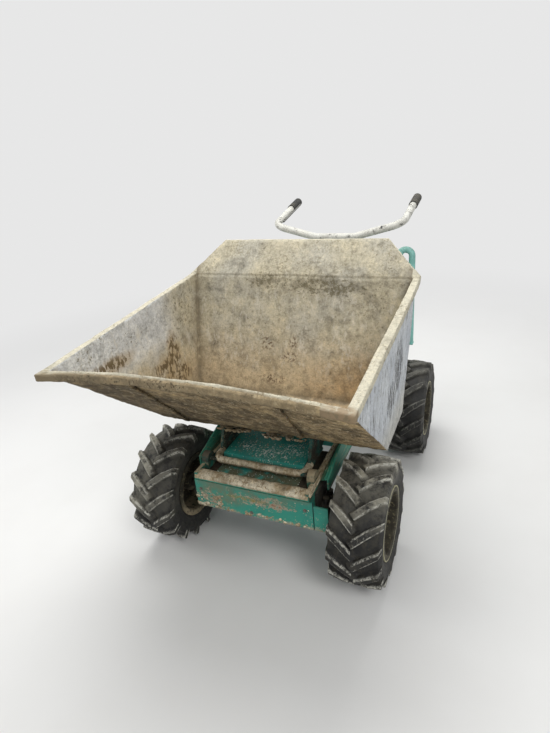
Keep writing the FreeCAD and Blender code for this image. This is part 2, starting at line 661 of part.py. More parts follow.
def rear_axle():
    beam = block(0, 2 * BEAM_HALF, WHEELBASE, BEAM, AXLE_Z - BEAM / 2, AXLE_Z + BEAM / 2)
    solids = [beam]
    top = CLEVIS_GAP / 2 + CLEVIS_T
    end = block(BEAM_HALF + 4, 16, WHEELBASE, BEAM, AXLE_Z - top, AXLE_Z + top)
    saddle = block(REAR_RAIL_X, REAR_RAIL_W, WHEELBASE, BEAM, AXLE_Z + BEAM / 2 - 1, REAR_RAIL_LOW)
    sides = [end, saddle]
    for z in (AXLE_Z - top, AXLE_Z + top - CLEVIS_T):
        tongue = box(BEAM_HALF + 8, KINGPIN_X, WHEELBASE - CLEVIS_R, WHEELBASE + CLEVIS_R, z, z + CLEVIS_T)
        nose = rod_z(KINGPIN_X, WHEELBASE, z, z + CLEVIS_T, CLEVIS_R)
        lug = tongue.fuse(nose)
        sides.append(lug.cut(rod_z(KINGPIN_X, WHEELBASE, z - 1, z + CLEVIS_T + 1, KINGPIN_R + RUNNING)))
    for side in sides:
        solids += [side, mirror_x(side)]
    return fuse_all(solids)


parts["rear_axle_beam"] = rear_axle()


def crank_arm(x, y):
    """A flat arm pointing back from a vertical axis at (x, y), with its link pin hanging down."""
    flat = box(x - ARM_W / 2, x + ARM_W / 2, y, y + ARM_LEN, ARM_Z, ARM_Z + ARM_T)
    ends = [rod_z(x, at, ARM_Z, ARM_Z + ARM_T, ARM_W / 2) for at in (y, y + ARM_LEN)]
    low = TIE_Z - TIE_EYE_H / 2 - 6
    pin = rod_z(x, y + ARM_LEN, low, ARM_Z + ARM_T, TIE_PIN_R)
    nut = rod_z(x, y + ARM_LEN, low, TIE_Z - TIE_EYE_H / 2 - SEAT, TIE_PIN_R + 4)
    return fuse_all([flat] + ends + [pin, nut])


def knuckle():
    x = KINGPIN_X
    y = WHEELBASE
    half = CLEVIS_GAP / 2 - 1
    top = AXLE_Z + CLEVIS_GAP / 2 + CLEVIS_T
    boss = rod_z(x, y, AXLE_Z - half, AXLE_Z + half, KNUCKLE_R)
    pin = rod_z(x, y, AXLE_Z - CLEVIS_GAP / 2 - CLEVIS_T - 8, ARM_Z, KINGPIN_R)
    collar = rod_z(x, y, top + 1, ARM_Z, KINGPIN_R + 7)
    neck = turned([(x, 0), (x, 24), (x + 42, 30), (x + 50, 30), (x + 50, 0)], V(0, y, AXLE_Z), V(1, 0, 0))
    spindle = rod_x(x, SPINDLE_END, y, AXLE_Z, SPINDLE_R)
    return fuse_all([boss, pin, collar, neck, spindle, crank_arm(x, y)])


right_knuckle = knuckle()
parts["knuckle_right"] = right_knuckle
parts["knuckle_left"] = mirror_x(right_knuckle)


def tie_rod():
    y = WHEELBASE + ARM_LEN
    yoke_y = COLUMN_Y + ARM_LEN
    solids = [rod_x(-KINGPIN_X, KINGPIN_X, y, TIE_Z, TIE_R)]
    yoke = plate_xy([(-70, y), (70, y), (TIE_EYE_R, yoke_y), (-TIE_EYE_R, yoke_y)], TIE_Z - 6, TIE_Z + 6)
    solids.append(yoke)
    holes = []
    for x, at in ((-KINGPIN_X, y), (KINGPIN_X, y), (0, yoke_y)):
        low = V(x, at, TIE_Z - TIE_EYE_H / 2)
        high = V(x, at, TIE_Z + TIE_EYE_H / 2)
        solids.append(rod(low, high, TIE_EYE_R))
        over = V(0, 0, 5)
        holes.append(rod(low - over, high + over, TIE_PIN_R + SEAT))
    link = fuse_all(solids)
    for hole in holes:
        link = link.cut(hole)
    return link


parts["tie_rod"] = tie_rod()


def steering_shaft():
    shaft = rod_z(0, COLUMN_Y, ARM_Z, JACKET_TOP + 32, COLUMN_R)
    head = rod_z(0, COLUMN_Y, JACKET_TOP + 2, JACKET_TOP + 32, JACKET_R + 4)
    return fuse_all([shaft, head, crank_arm(0, COLUMN_Y)])


def column_jacket():
    low = V(0, COLUMN_Y, JACKET_LOW)
    high = V(0, COLUMN_Y, JACKET_TOP)
    return tube(low, high, JACKET_R, COLUMN_R + SEAT)


parts["steering_shaft"] = steering_shaft()
parts["column_jacket"] = column_jacket()


def handlebar_points():
    return [V(-BAR_HALF - 5, GRIP_END_Y, GRIP_END_Z), V(-BAR_HALF, BAR_FRONT_Y + 20, BAR_SIDE_Z),
            V(-110, BAR_FRONT_Y, BAR_LOW_Z), V(110, BAR_FRONT_Y, BAR_LOW_Z),
            V(BAR_HALF, BAR_FRONT_Y + 20, BAR_SIDE_Z), V(BAR_HALF + 5, GRIP_END_Y, GRIP_END_Z)]


def control_lever():
    """The thin rod along the inside of the left tube, on two stays."""
    tip, corner = handlebar_points()[:2]
    aside = V(LEVER_IN, 0, 0)
    along = (tip - corner).normalize()
    shapes = [rod(corner + along * 60 + aside, tip - along * 40 + aside, LEVER_R)]
    for place in (100, 240):
        at = corner + along * place
        shapes.append(rod(at, at + aside, LEVER_R + 1))
    return shapes


def handlebar():
    bar = bent_rod(handlebar_points(), BAR_BEND_R, BAR_R)
    riser = plate_yz([(COLUMN_Y - 20, JACKET_TOP + 32), (COLUMN_Y + 30, JACKET_TOP + 32),
                      (BAR_FRONT_Y + 14, BAR_LOW_Z), (BAR_FRONT_Y - 14, BAR_LOW_Z)], 30, 42)
    seat = box(-42, 42, COLUMN_Y - 20, COLUMN_Y + 30, JACKET_TOP + 32, JACKET_TOP + 42)
    return fuse_all([bar, riser, mirror_x(riser), seat] + control_lever())


def grips():
    points = handlebar_points()
    shapes = []
    for tip, inner in ((points[0], points[1]), (points[-1], points[-2])):
        along = (inner - tip).normalize()
        start = tip - along * 6
        sleeve = rod(start, tip + along * GRIP_L, GRIP_R)
        shapes.append(sleeve.cut(rod(tip, tip + along * (GRIP_L + 5), BAR_R)))
    return Part.makeCompound(shapes)


parts["handlebar"] = handlebar()
parts["grips"] = grips()


def round_wheel(x, degrees, radius):
    """A point in the wheel's own frame, its angle measured from the front upwards."""
    angle = math.radians(degrees)
    return V(x, -radius * math.cos(angle), radius * math.sin(angle))


def lug_edges(stations, width, side, start):
    """The two long edges of a lug's top or foot, from its root outwards."""
    edges = ([], [])
    for share, turn, depth, slant in stations:
        angle = math.radians(start + turn)
        tilt = math.radians(slant)
        reach = width / 2 * math.cos(tilt)
        radius = math.sqrt((TYRE_R - depth) ** 2 - reach ** 2)
        centre = round_wheel(side * share * TYRE_W / 2, start + turn, radius)
        onward = V(0, math.sin(angle), math.cos(angle))
        across = V(side * math.sin(tilt), 0, 0) * (width / 2) - onward * reach
        edges[0].append(centre + across)
        edges[1].append(centre - across)
    return edges


def lug_faces(start, side):
    """A lug's top, its flanks and both its ends."""
    top = lug_edges(LUG_TOP, LUG_TOP_W, side, start)
    foot = lug_edges(LUG_FOOT, LUG_FOOT_W, side, start)
    faces = strip(*top)
    for high, low in zip(top, foot):
        faces += strip(high, low)
    for end in (0, -1):
        faces += strip([top[0][end], top[1][end]], [foot[0][end], foot[1][end]])
    return faces


def valley_faces(start, side):
    """The ground between one lug and the next, round the root of the other side's lug."""
    pitch = 360 / LUGS
    near = lug_edges(LUG_FOOT, LUG_FOOT_W, side, start)[1]
    far = lug_edges(LUG_FOOT, LUG_FOOT_W, side, start + pitch)[0]
    low, high = [edge[0] for edge in lug_edges(LUG_FOOT, LUG_FOOT_W, -side, start + pitch / 2)]
    faces = strip(near[1:], far[1:])
    corners = ((near[0], near[1], low), (low, near[1], high), (high, near[1], far[1]), (high, far[1], far[0]))
    for corner in corners:
        faces.append(face_of(list(corner)))
    return faces


def tyre():
    """A lugged tyre made of flat faces, closed by its side walls and its bead."""
    pitch = 360 / LUGS
    half = TYRE_W / 2
    corner = 1 / math.cos(math.radians(pitch / 4))
    faces = []
    beads = []
    for side, offset in ((1, 0), (-1, pitch / 2)):
        wall = []
        for i in range(LUGS):
            start = LUG_START + offset + i * pitch
            faces += lug_faces(start, side)
            faces += valley_faces(start, side)
            wall += [edge[-1] for edge in lug_edges(LUG_FOOT, LUG_FOOT_W, side, start)]
        rings = [wall]
        first = LUG_START + LUG_FOOT[-1][1] - pitch / 4 + offset
        turns = [first + k * pitch / 2 for k in range(2 * LUGS)]
        for x, radius in ((half - 14, RIM_FLANGE_R + 2), (half - 17, RIM_BEAD_R)):
            rings.append([round_wheel(side * x, turn, radius * corner) for turn in turns])
        for outer, inner in zip(rings, rings[1:]):
            faces += strip(outer + outer[:1], inner + inner[:1])
        beads.append(rings[-1])
    right, left = beads
    faces += strip(right[1:] + right[:2], left + left[:1])
    return Part.Solid(Part.makeShell(faces))


def rim():
    """Pressed rim with its disc and a hub that runs on the axle stub; outside faces +X."""
    half = RIM_W / 2
    bead = RIM_BEAD_R - SEAT
    barrel = [(-half, RIM_FLANGE_R), (-half + 4, RIM_FLANGE_R), (-half + 8, bead), (half - 8, bead),
              (half - 4, RIM_FLANGE_R), (half, RIM_FLANGE_R), (half, bead - RIM_WALL + 4),
              (half - 6, bead - RIM_WALL), (-half + 6, bead - RIM_WALL), (-half, bead - RIM_WALL + 4)]
    disc = [(-10, SPINDLE_R + RUNNING), (-10, HUB_R), (8, HUB_R + 22), (8, bead - RIM_WALL + 2),
            (16, bead - RIM_WALL + 2), (16, HUB_R + 18), (-2, HUB_R - 4), (-2, 46), (30, 42), (30, 18),
            (26, SPINDLE_R + RUNNING)]
    sleeve = [(-62, SPINDLE_R + RUNNING), (-62, 40), (-12, 40), (-8, 50), (-8, SPINDLE_R + RUNNING)]
    cap = [(26, 0), (26, 30), (38, 26), (42, 0)]
    axis = V(1, 0, 0)
    centre = V(0, 0, 0)
    return fuse_all([turned(profile, centre, axis) for profile in (barrel, disc, sleeve, cap)])


WHEELS = (
    # name, side along X, place along Y
    ("front_right", 1, 0),
    ("front_left", -1, 0),
    ("rear_right", 1, WHEELBASE),
    ("rear_left", -1, WHEELBASE),
)
tyre_shape = tyre()
rim_shape = rim()
for wheel, side, place in WHEELS:
    for kind, shape in (("tyre", tyre_shape), ("rim", rim_shape)):
        one = shape if side > 0 else mirror_x(shape)
        parts[kind + "_" + wheel] = one.translated(V(side * TRACK_HALF, place, AXLE_Z))


def step_slots(top):
    """The drain slots of the tread, in rows between its arms and edges."""
    long, wide = STEP_SLOT
    pitch_x = 2 * STEP_HALF / (STEP_COLUMNS + 1)
    pitch_y = (STEP_END_Y - STEP_START_Y - 60) / (STEP_ROWS - 1)
    slots = []
    for column in range(STEP_COLUMNS):
        x = (column - (STEP_COLUMNS - 1) / 2) * pitch_x
        for row in range(STEP_ROWS):
            y = STEP_START_Y + 30 + row * pitch_y
            slots.append(block(x, long, y, wide, top - STEP_T - 1, top + 1))
    return slots


def platform():
    inside = END_HALF - STEP_BRACKET_T - 1
    barrel = rod_x(-inside, inside, STEP_HINGE_Y, STEP_HINGE_Z, STEP_HINGE_R)
    pins = rod_x(-END_HALF - 6, END_HALF + 6, STEP_HINGE_Y, STEP_HINGE_Z, STEP_PIN_R)
    top = STEP_HINGE_Z - 6
    tread = box(-STEP_HALF, STEP_HALF, STEP_START_Y, STEP_END_Y, top - STEP_T, top)
    low = top - STEP_RIM
    end = STEP_END_Y - 2
    outline = [(STEP_HINGE_Y, STEP_HINGE_Z), (end, top - STEP_T), (end, low), (STEP_HINGE_Y + 60, low - 14),
               (STEP_HINGE_Y - 8, STEP_HINGE_Z - 10)]
    arm = plate_yz(outline, STEP_ARM_X, STEP_ARM_X + 10)
    edge = box(-STEP_HALF, STEP_HALF, STEP_END_Y - STEP_T, STEP_END_Y, low, top)
    side = box(STEP_HALF - STEP_T, STEP_HALF, STEP_START_Y, STEP_END_Y, low, top)
    step = fuse_all([barrel, pins, tread, arm, mirror_x(arm), edge, side, mirror_x(side)])
    return step.cut(Part.makeCompound(step_slots(top)))


parts["platform"] = platform()


def engine_deck():
    plate = box(-ENGINE_DECK_HALF, ENGINE_DECK_HALF, ENGINE_DECK_START, ENGINE_DECK_END, ENGINE_DECK_Z,
                ENGINE_DECK_Z + ENGINE_DECK_T)
    jacket_hole = rod_z(0, COLUMN_Y, ENGINE_DECK_Z - 5, ENGINE_DECK_Z + 30, JACKET_R + SEAT)
    return plate.cut(jacket_hole)


parts["engine_deck"] = engine_deck()


def engine_block():
    """Crankcase on its feet, with the finned cylinder and the head above it."""
    shoulder = CYLINDER_LOW - 20
    half = [(84, FLOOR + ENGINE_FOOT), (100, CRANK_Z - 50), (100, shoulder), (66, CYLINDER_LOW)]
    outline = [(ENGINE_Y + y, z) for y, z in half] + [(ENGINE_Y - y, z) for y, z in reversed(half)]
    solids = [plate_yz(outline, ENGINE_X - CASE_HALF, ENGINE_X + CASE_HALF)]
    for x in (ENGINE_X - 75, ENGINE_X + 75):
        solids.append(block(x, 40, ENGINE_Y, 236, FLOOR, FLOOR + ENGINE_FOOT))
    solids.append(block(ENGINE_X, 100, ENGINE_Y, 84, CYLINDER_LOW, CYLINDER_TOP))
    plates = [(CYLINDER_TOP - HEAD_H, CYLINDER_TOP)]
    for i in range(FINS):
        z = CYLINDER_LOW + 8 + i * FIN_PITCH
        plates.append((z, z + FIN_T))
    for low, high in plates:
        solids.append(block(ENGINE_X, 2 * FIN_X, ENGINE_Y, 2 * FIN_Y, low, high))
    pad = box(ENGINE_X + 50, ENGINE_X + FIN_X, ENGINE_Y - 52, ENGINE_Y + FIN_Y, PORT_Z - 24, PORT_Z + 24)
    x = ENGINE_X - 70
    filler = rod(V(x, ENGINE_Y + 84, FLOOR + 66), V(x, ENGINE_Y + 122, FLOOR + 84), 15)
    return fuse_all(solids + [pad, filler])


def engine_shroud():
    """The fan's housing with its starter cap, slots and pull, and the duct up to the fins."""
    x = ENGINE_X - CASE_HALF
    centre = V(0, ENGINE_Y, CRANK_Z)
    bowl = turned([(x - 70, 0), (x - 70, 60), (x - 60, 105), (x - 40, 128), (x, 135), (x, 0)],
                  centre, V(1, 0, 0))
    wide = FIN_Y + 6
    duct = box(x - 34, ENGINE_X - FIN_X, ENGINE_Y - wide, ENGINE_Y + wide, CRANK_Z + 92, CYLINDER_TOP - 6)
    neck = rod(V(x - 36, ENGINE_Y - 90, CRANK_Z + 66), V(x - 36, ENGINE_Y - 122, CRANK_Z + 90), 7)
    pull = rod_x(x - 58, x - 14, ENGINE_Y - 122, CRANK_Z + 90, 9)
    slots = []
    for i in range(12):
        slot = box(x - 80, x - 54, ENGINE_Y - 5, ENGINE_Y + 5, CRANK_Z + 66, CRANK_Z + 98)
        slots.append(slot.rotate(centre, V(1, 0, 0), i * 30))
    return fuse_all([bowl, duct, neck, pull]).cut(Part.makeCompound(slots))


def fuel_tank():
    """Two pressed halves with a seam between them, and the filler cap."""
    z = CYLINDER_TOP
    x0, x1 = ENGINE_X - 150, ENGINE_X + 90
    y0, y1 = ENGINE_Y - 105, ENGINE_Y + 95
    body = rounded_box(x0, x1, y0, y1, z, z + 110, 28)
    seam = rounded_box(x0 - 6, x1 + 6, y0 - 6, y1 + 6, z + 50, z + 54, 32, upright_only=True)
    neck = rod_z(ENGINE_X - 30, ENGINE_Y, z + 100, z + 118, 30)
    cap = rod_z(ENGINE_X - 30, ENGINE_Y, z + 118, z + 138, 36)
    return fuse_all([body, seam, neck, cap])


def head_port(y):
    """The short duct between the cylinder's pad and what hangs on its side."""
    return rod_x(ENGINE_X + FIN_X, SIDE_NEAR + 2, y, PORT_Z, PORT_R)


def muffler():
    """A rounded can with its outlet, behind a slotted guard on four studs."""
    y0, y1 = ENGINE_Y - 130, ENGINE_Y + 10
    z0, z1 = CRANK_Z + 84, CRANK_Z + 185
    can = rounded_box(SIDE_NEAR, SIDE_FAR, y0, y1, z0, z1, 16)
    outlet = tube(V(SIDE_FAR - 34, y0 + 8, z0 + 26), V(SIDE_FAR - 34, y0 - 34, z0 + 26), 15, 12)
    guard = box(SIDE_FAR + 8, SIDE_FAR + 11, y0 + 2, y1 - 2, z0 + 2, z1 - 2)
    for i in range(5):
        z = z0 + 14 + i * 17
        guard = guard.cut(box(SIDE_FAR, SIDE_FAR + 20, y0 + 26, y1 - 26, z, z + 7))
    studs = []
    for y in (y0 + 20, y1 - 20):
        for z in (z0 + 20, z1 - 20):
            studs.append(rod_x(SIDE_FAR - 2, SIDE_FAR + 9, y, z, 5))
    return fuse_all([can, outlet, guard, head_port(ENGINE_Y - 30)] + studs)


def air_cleaner():
    """A rounded case with a lipped lid and its knob."""
    y0, y1 = ENGINE_Y + 20, ENGINE_Y + 150
    z0, z1 = CRANK_Z + 84, CRANK_Z + 188
    case = rounded_box(SIDE_NEAR, SIDE_FAR, y0, y1, z0, z1, 22)
    lip = rounded_box(SIDE_NEAR - 4, SIDE_FAR + 4, y0 - 4, y1 + 4, z0 + 40, z0 + 48, 26, upright_only=True)
    x = (SIDE_NEAR + SIDE_FAR) / 2
    y = (y0 + y1) / 2
    knob = rod_z(x, y, z1 - 4, z1 + 12, 13)
    return fuse_all([case, lip, knob, head_port(ENGINE_Y + 40)])


def pump():
    """The tipping and driving pump on the engine's shaft end, with its two ports."""
    x = ENGINE_X + CASE_HALF
    body = turned([(x, 0), (x, 78), (x + 14, 78), (x + 20, 62), (x + 70, 62), (x + 76, 50), (x + 150, 50),
                   (x + 156, 40), (x + 156, 0)], V(0, ENGINE_Y, CRANK_Z), V(1, 0, 0))
    up = rod_z(x + 112, ENGINE_Y, CRANK_Z + 30, CRANK_Z + 70, 16)
    back = rod(V(x + 112, ENGINE_Y + 30, CRANK_Z), V(x + 112, ENGINE_Y + 72, CRANK_Z), 20)
    return fuse_all([body, up, back])


def oil_tank():
    """An upright tank with its filler, sight glass and two fittings low on the engine's side."""
    x0, x1 = -BOX_EDGE, -60
    top = FLOOR + 320
    body = rounded_box(x0, x1, BOX_START, BOX_END, FLOOR, top, 22)
    x = x0 + 70
    y = BOX_END - 60
    neck = rod_z(x, y, top - 4, top + 14, 26)
    cap = rod_z(x, y, top + 14, top + 34, 32)
    glass = box(x1 - 70, x1 - 46, BOX_END - 1, BOX_END + 6, FLOOR + 150, FLOOR + 260)
    fittings = [rod(V(at, BOX_START + 1, FLOOR + 60), V(at, BOX_START - 26, FLOOR + 60), 17)
                for at in (x0 + 70, x0 + 150)]
    return fuse_all([body, neck, cap, glass] + fittings)


def panel_control(x, share, profile):
    """A turned gauge, switch or lever stood square on the panel's slope."""
    slope = V(0, BOX_END - PANEL_START, PANEL_FRONT - PANEL_RISE)
    foot = V(x, PANEL_START, PANEL_LOW + PANEL_RISE) + slope * share
    square = slope.cross(V(-1, 0, 0)).normalize()
    return turned(profile, foot, square)


def console():
    """The cupboard beside the column and the sloping panel above it, with its gauges and levers."""
    pedestal = rounded_box(50, BOX_EDGE, BOX_START, BOX_END, FLOOR, FLOOR + 260, 12)
    door = box(74, BOX_EDGE - 24, BOX_END - 1, BOX_END + 3, FLOOR + 24, FLOOR + 232)
    post = box(80, 110, PANEL_START + 15, BOX_END - 15, FLOOR + 255, PANEL_LOW + 5)
    outline = [(PANEL_START, 0), (PANEL_START, PANEL_RISE), (BOX_END, PANEL_FRONT),
               (BOX_END + 10, PANEL_FRONT - 9), (BOX_END + 10, 0)]
    board = plate_yz([(y, PANEL_LOW + z) for y, z in outline], -PANEL_HALF, PANEL_HALF)
    gauge = [(-6, 0), (-6, 27), (7, 27), (7, 23), (3, 23), (3, 0)]
    switch = [(-6, 0), (-6, 14), (9, 12), (9, 0)]
    lever = [(-6, 0), (-6, 20), (4, 18), (6, 6), (52, 5), (54, 13), (74, 13), (80, 8), (80, 0)]
    controls = [panel_control(x, 0.5, gauge) for x in (-60, 10)]
    controls.append(panel_control(90, 0.5, switch))
    controls += [panel_control(x, 0.5, lever) for x in (-200, -150, 200)]
    return fuse_all([pedestal, door, post, board] + controls)


def guard_hoop():
    """A tube bent into a hoop, on a foot plate that stands out from the deck's edge."""
    far = HOOP_X + HOOP_SPAN
    seat = FLOOR + HOOP_FOOT_T
    top = HOOP_TOP - HOOP_R
    points = [V(x, HOOP_Y, z) for x, z in ((HOOP_X, seat), (HOOP_X, top), (far, top), (far, seat))]
    loop = bent_rod(points, HOOP_SPAN / 2 - 1, HOOP_R)
    foot = box(BOX_EDGE + 2, far + HOOP_R, HOOP_Y - HOOP_R - 3, HOOP_Y + HOOP_R + 3, FLOOR, seat)
    return fuse_all([loop, foot])


hoop = guard_hoop()
parts["guard_hoops"] = Part.makeCompound([hoop, mirror_x(hoop)])
parts["engine_block"] = engine_block()
parts["engine_shroud"] = engine_shroud()
parts["fuel_tank"] = fuel_tank()
parts["muffler"] = muffler()
parts["air_cleaner"] = air_cleaner()
parts["hydraulic_pump"] = pump()
parts["oil_tank"] = oil_tank()
parts["console"] = console()

os.makedirs("parts", exist_ok=True)
for name, shape in parts.items():
    moved = shape.translated(V(0, -MID_Y, 0))
    moved.exportStep("parts/" + name + ".step")
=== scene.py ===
"""Looks of the site dumper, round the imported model, in metres."""
import functools
import math
import random

import bmesh
import bpy
import numpy as np
from mathutils import Matrix, Vector, noise


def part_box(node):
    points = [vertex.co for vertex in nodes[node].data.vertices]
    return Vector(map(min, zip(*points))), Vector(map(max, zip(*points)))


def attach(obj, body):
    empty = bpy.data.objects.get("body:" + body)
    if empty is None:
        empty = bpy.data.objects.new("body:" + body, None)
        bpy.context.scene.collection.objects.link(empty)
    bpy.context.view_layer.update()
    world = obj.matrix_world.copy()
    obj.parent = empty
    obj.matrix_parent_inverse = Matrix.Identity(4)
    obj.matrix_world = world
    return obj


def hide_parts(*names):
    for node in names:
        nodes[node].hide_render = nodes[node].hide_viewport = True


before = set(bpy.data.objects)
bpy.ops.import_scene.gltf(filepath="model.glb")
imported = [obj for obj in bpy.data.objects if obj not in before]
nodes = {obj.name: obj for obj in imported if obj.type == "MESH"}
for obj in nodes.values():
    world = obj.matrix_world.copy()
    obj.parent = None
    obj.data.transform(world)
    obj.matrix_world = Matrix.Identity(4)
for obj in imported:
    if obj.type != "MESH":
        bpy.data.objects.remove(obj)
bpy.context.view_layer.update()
bpy.context.scene.view_settings.view_transform = "Standard"

# Camera, solved from the photograph: place, then turn, nod and lean in radians
CAMERA_AT = Vector((0.841, -2.10425, 1.659))
CAMERA_YAW = -0.445
CAMERA_PITCH = -0.423
CAMERA_ROLL = -0.095
FOCAL_PX = 510.3
IMAGE_HEIGHT_PX = 733
SENSOR_MM = 36.0

BACKDROP_COLOUR = (0.8, 0.8, 0.8, 1.0)
SKY_COLOUR = (0.93, 0.96, 1.0, 1.0)
SKY_STRENGTH = 0.4
LIGHTS = (
    # name, place, point it faces, width, watts
    ("ceiling", (-0.6, 0.4, 4.2), (0, 0, 0.6), 3.0, 116),
    ("key", (2.6, -2.6, 3.6), (0, -0.2, 0.7), 1.8, 70),
    ("fill", (-3.4, -1.6, 2.2), (0, 0, 0.6), 2.0, 32),
    ("back", (0.5, 3.8, 2.8), (0, 0.2, 0.7), 2.0, 28),
)

# Tub, as in the part's source: lip and shoulder are (y, z)
TUB_FLOOR_Z = 0.55
TUB_LIP = (-1.033, 1.015)
TUB_SHOULDER = (-0.033, 1.09)
TUB_REAR_Y = -0.183
TUB_FRONT_Y = -0.493
TUB_BOTTOM_HALF = 0.505
TUB_TOP_HALF = 0.522
TUB_RIM_HALF = 0.541
TUB_WALL = 0.009
TUB_RIM = 0.027
LIP_BOW = 0.032
# The tub's five finishes, in the order of its material slots
INSIDE, OUTSIDE, UNDER, RIM, BACK = range(5)
# Shaping of the tub's skin: width of its cells, dents, crust by finish, filling of the crest's crease
TUB_CELL = 0.012
DENT_WIDTH, DENT_DEPTH = 0.24, 0.0035
CRUST_RIM, CRUST_UNDER, CRUST_ELSEWHERE = 0.002, 0.004, 0.0009
CREASE_RISE = 0.06
CREASE_FILL = 0.0042

# Tyre, as in the part's source: share of half width, turn in degrees, depth below the lug tips
TYRE_R = 0.254
TYRE_HALF = 0.103
LUGS = 15
LUG_START = 15.7
LUG_SHARE_TOP = (-0.087, 0.447, 0.93, 0.985)
LUG_SHARE_FOOT = (-0.087, 0.447, 0.903, 0.99)
LUG_TURN = (0, 11.5, 19.8, 21.5)
LUG_DEPTH_TOP = (0, 0.001, 0.006, 0.03)
LUG_DEPTH_FOOT = (0.021, 0.021, 0.032, 0.054)
LUG_REACH_TOP = (0.0164, 0.0157, 0.012, 0.012)
LUG_REACH_FOOT = (0.026, 0.0248, 0.019, 0.019)
LUG_SLANT = math.radians(43)
# Points round the tyre in one lug's pitch
COLUMNS = 30
# Rounding of a lug's upper edges and of its foot: width and depth
EDGE_ROUND, FOOT_ROUND, ROUND_DEPTH = 0.005, 0.006, 0.0015
# Side wall from the lugs down to the bead and in to the rim: (across, radius)
SIDE_WALL = ((0.1015, 0.192), (0.1012, 0.188), (0.1, 0.186), (0.099, 0.178), (0.0972, 0.168), (0.0955, 0.162),
             (0.0962, 0.16), (0.0955, 0.158), (0.0925, 0.152), (0.089, 0.147), (0.0875, 0.14), (0.086, 0.128))
AXLE_Z = 0.254
TRACK_HALF = 0.438
WHEELS = (
    # name, side along X, place along Y
    ("front_right", 1, -0.54325),
    ("front_left", -1, -0.54325),
    ("rear_right", 1, 0.39675),
    ("rear_left", -1, 0.39675),
)
NUT_CIRCLE = 0.052

# Chassis front, as in the part's source: a bar is (y, z, radius)
RAIL_OUT = 0.25
RAIL_TOP_Z = 0.43
NOSE_Y = -0.683
FRONT_BAR = (-0.661, 0.401, 0.026)
BAIL = (-0.588, 0.444, 0.013)
BAIL_HALF = 0.2
BAIL_BEND = 0.032
DECK_Z = 0.45
COVER_Y = -0.689
COVER_FOOT_Z = 0.272
# Operator's sloping panel: its middle and the way it faces
PANEL_MIDDLE = Vector((0, 0.577, 0.945))
PANEL_UP = Vector((0, 0.04, 0.09)).normalized()

# Cement caked on flat faces: name, corner, two sides, height, seed, how much of the face is covered
CAKE_CELL = 0.003
RAIL_CAKES = (
    ("right_rail_cement", (0.2385, NOSE_Y, RAIL_TOP_Z - 0.001), (0.02, 0, -0.01), (0, 0.6, 0), 0.012, 9, 0.9),
    ("right_lip_cement", (0.232, NOSE_Y, RAIL_TOP_Z - 0.002), (0.016, 0, 0.004), (0, 0.6, 0), 0.01, 12, 0.8),
    ("left_rail_cement", (-0.251, NOSE_Y, RAIL_TOP_Z - 0.002), (0.014, 0, 0), (0, 0.72, 0), 0.006, 13, 0.7),
)
COVER_CAKES = (
    ("cover_cement", (-0.25, -0.6885, COVER_FOOT_Z), (0.5, 0, 0), (0, 0, 0.03), 0.004, 17, -0.05),
    ("cover_corner_cement", (-0.245, -0.6885, 0.29), (0.13, 0, 0), (0, 0, 0.09), 0.003, 21, -0.25),
)
SPATTER = (
    # corner, two sides, how many lumps, smallest and largest radius
    ((-0.25, COVER_Y, 0.275), (0.5, 0, 0), (0, 0, 0.12), 60, 0.0007, 0.004),
    ((-0.25, COVER_Y, COVER_FOOT_Z), (0.13, 0, 0), (0, 0, 0.07), 90, 0.001, 0.011),
    ((-0.25, COVER_Y, COVER_FOOT_Z), (0.5, 0, 0), (0, 0, 0.014), 110, 0.001, 0.01),
    ((-0.04, COVER_Y, 0.325), (0.18, 0, 0), (0, 0, 0.05), 60, 0.0007, 0.004),
    ((-0.17, -0.54, DECK_Z), (0.34, 0, 0), (0, 0.2, 0), 260, 0.0006, 0.004),
)
CHUNKS = 90
# Folded sheet beside each rail: share of its width, share of its rise, height of the ribs
WING_PROFILE = ((0.0, 0.0, 0.0), (0.26, 0.25, 0.0), (0.32, 0.31, 0.005), (0.38, 0.36, 0.0),
                (0.6, 0.58, 0.0), (0.66, 0.64, 0.005), (0.72, 0.7, 0.0), (1.0, 1.0, 0.0))
WING_WIDTH = 0.038
# Lever knob and gauge face: (height over the panel, radius)
KNOB_PROFILE = ((0.05, 0.0062), (0.0515, 0.0122), (0.055, 0.0142), (0.073, 0.0142), (0.079, 0.0105),
                (0.0815, 0.005))
GAUGE_PROFILE = ((0.002, 0.0226), (0.0036, 0.0226))

# Bolt heads: on the rear deck (x, y, z) and the rails (y, z), both mirrored, and on the cover (x, z)
DECK_BOLTS = ((0.364, 0.617, 0.538), (0.305, 0.045, 0.53), (0.305, 0.21, 0.53), (0.305, 0.36, 0.53))
RAIL_BOLTS = ((-0.36, 0.31), (-0.36, 0.36), (0.06, 0.31))
COVER_BOLTS = ((0.234, 0.357), (-0.225, 0.357), (0.0, 0.288))

# Plain finishes by record slot: name, colour, roughness, metallic, dust
PLAIN_FINISHES = {
    "bare_steel": ("steel_caked", (132, 124, 104), 0.7, 0.3, 0.6),
    "chrome_rod": ("rod_polished", (190, 190, 192), 0.2, 1.0, 0.1),
    "engine_cast": ("engine_alloy", (150, 149, 145), 0.5, 0.7, 0.35),
    "tank_paint": ("tank_pale", (214, 212, 204), 0.4, 0.0, 0.3),
    "black_plastic": ("plastic_black", (38, 38, 38), 0.5, 0.0, 0.4),
    "grip_rubber": ("rubber_grip", (36, 36, 35), 0.8, 0.0, 0.25),
}


def rgb(colour):
    """A colour as a screen shows it, 0 to 255, made linear."""
    shares = [value / 255 for value in colour]
    return tuple(s / 12.92 if s <= 0.04045 else ((s + 0.055) / 1.055) ** 2.4 for s in shares) + (1.0,)


def darker(colour, share):
    return tuple(int(value * share) for value in colour)


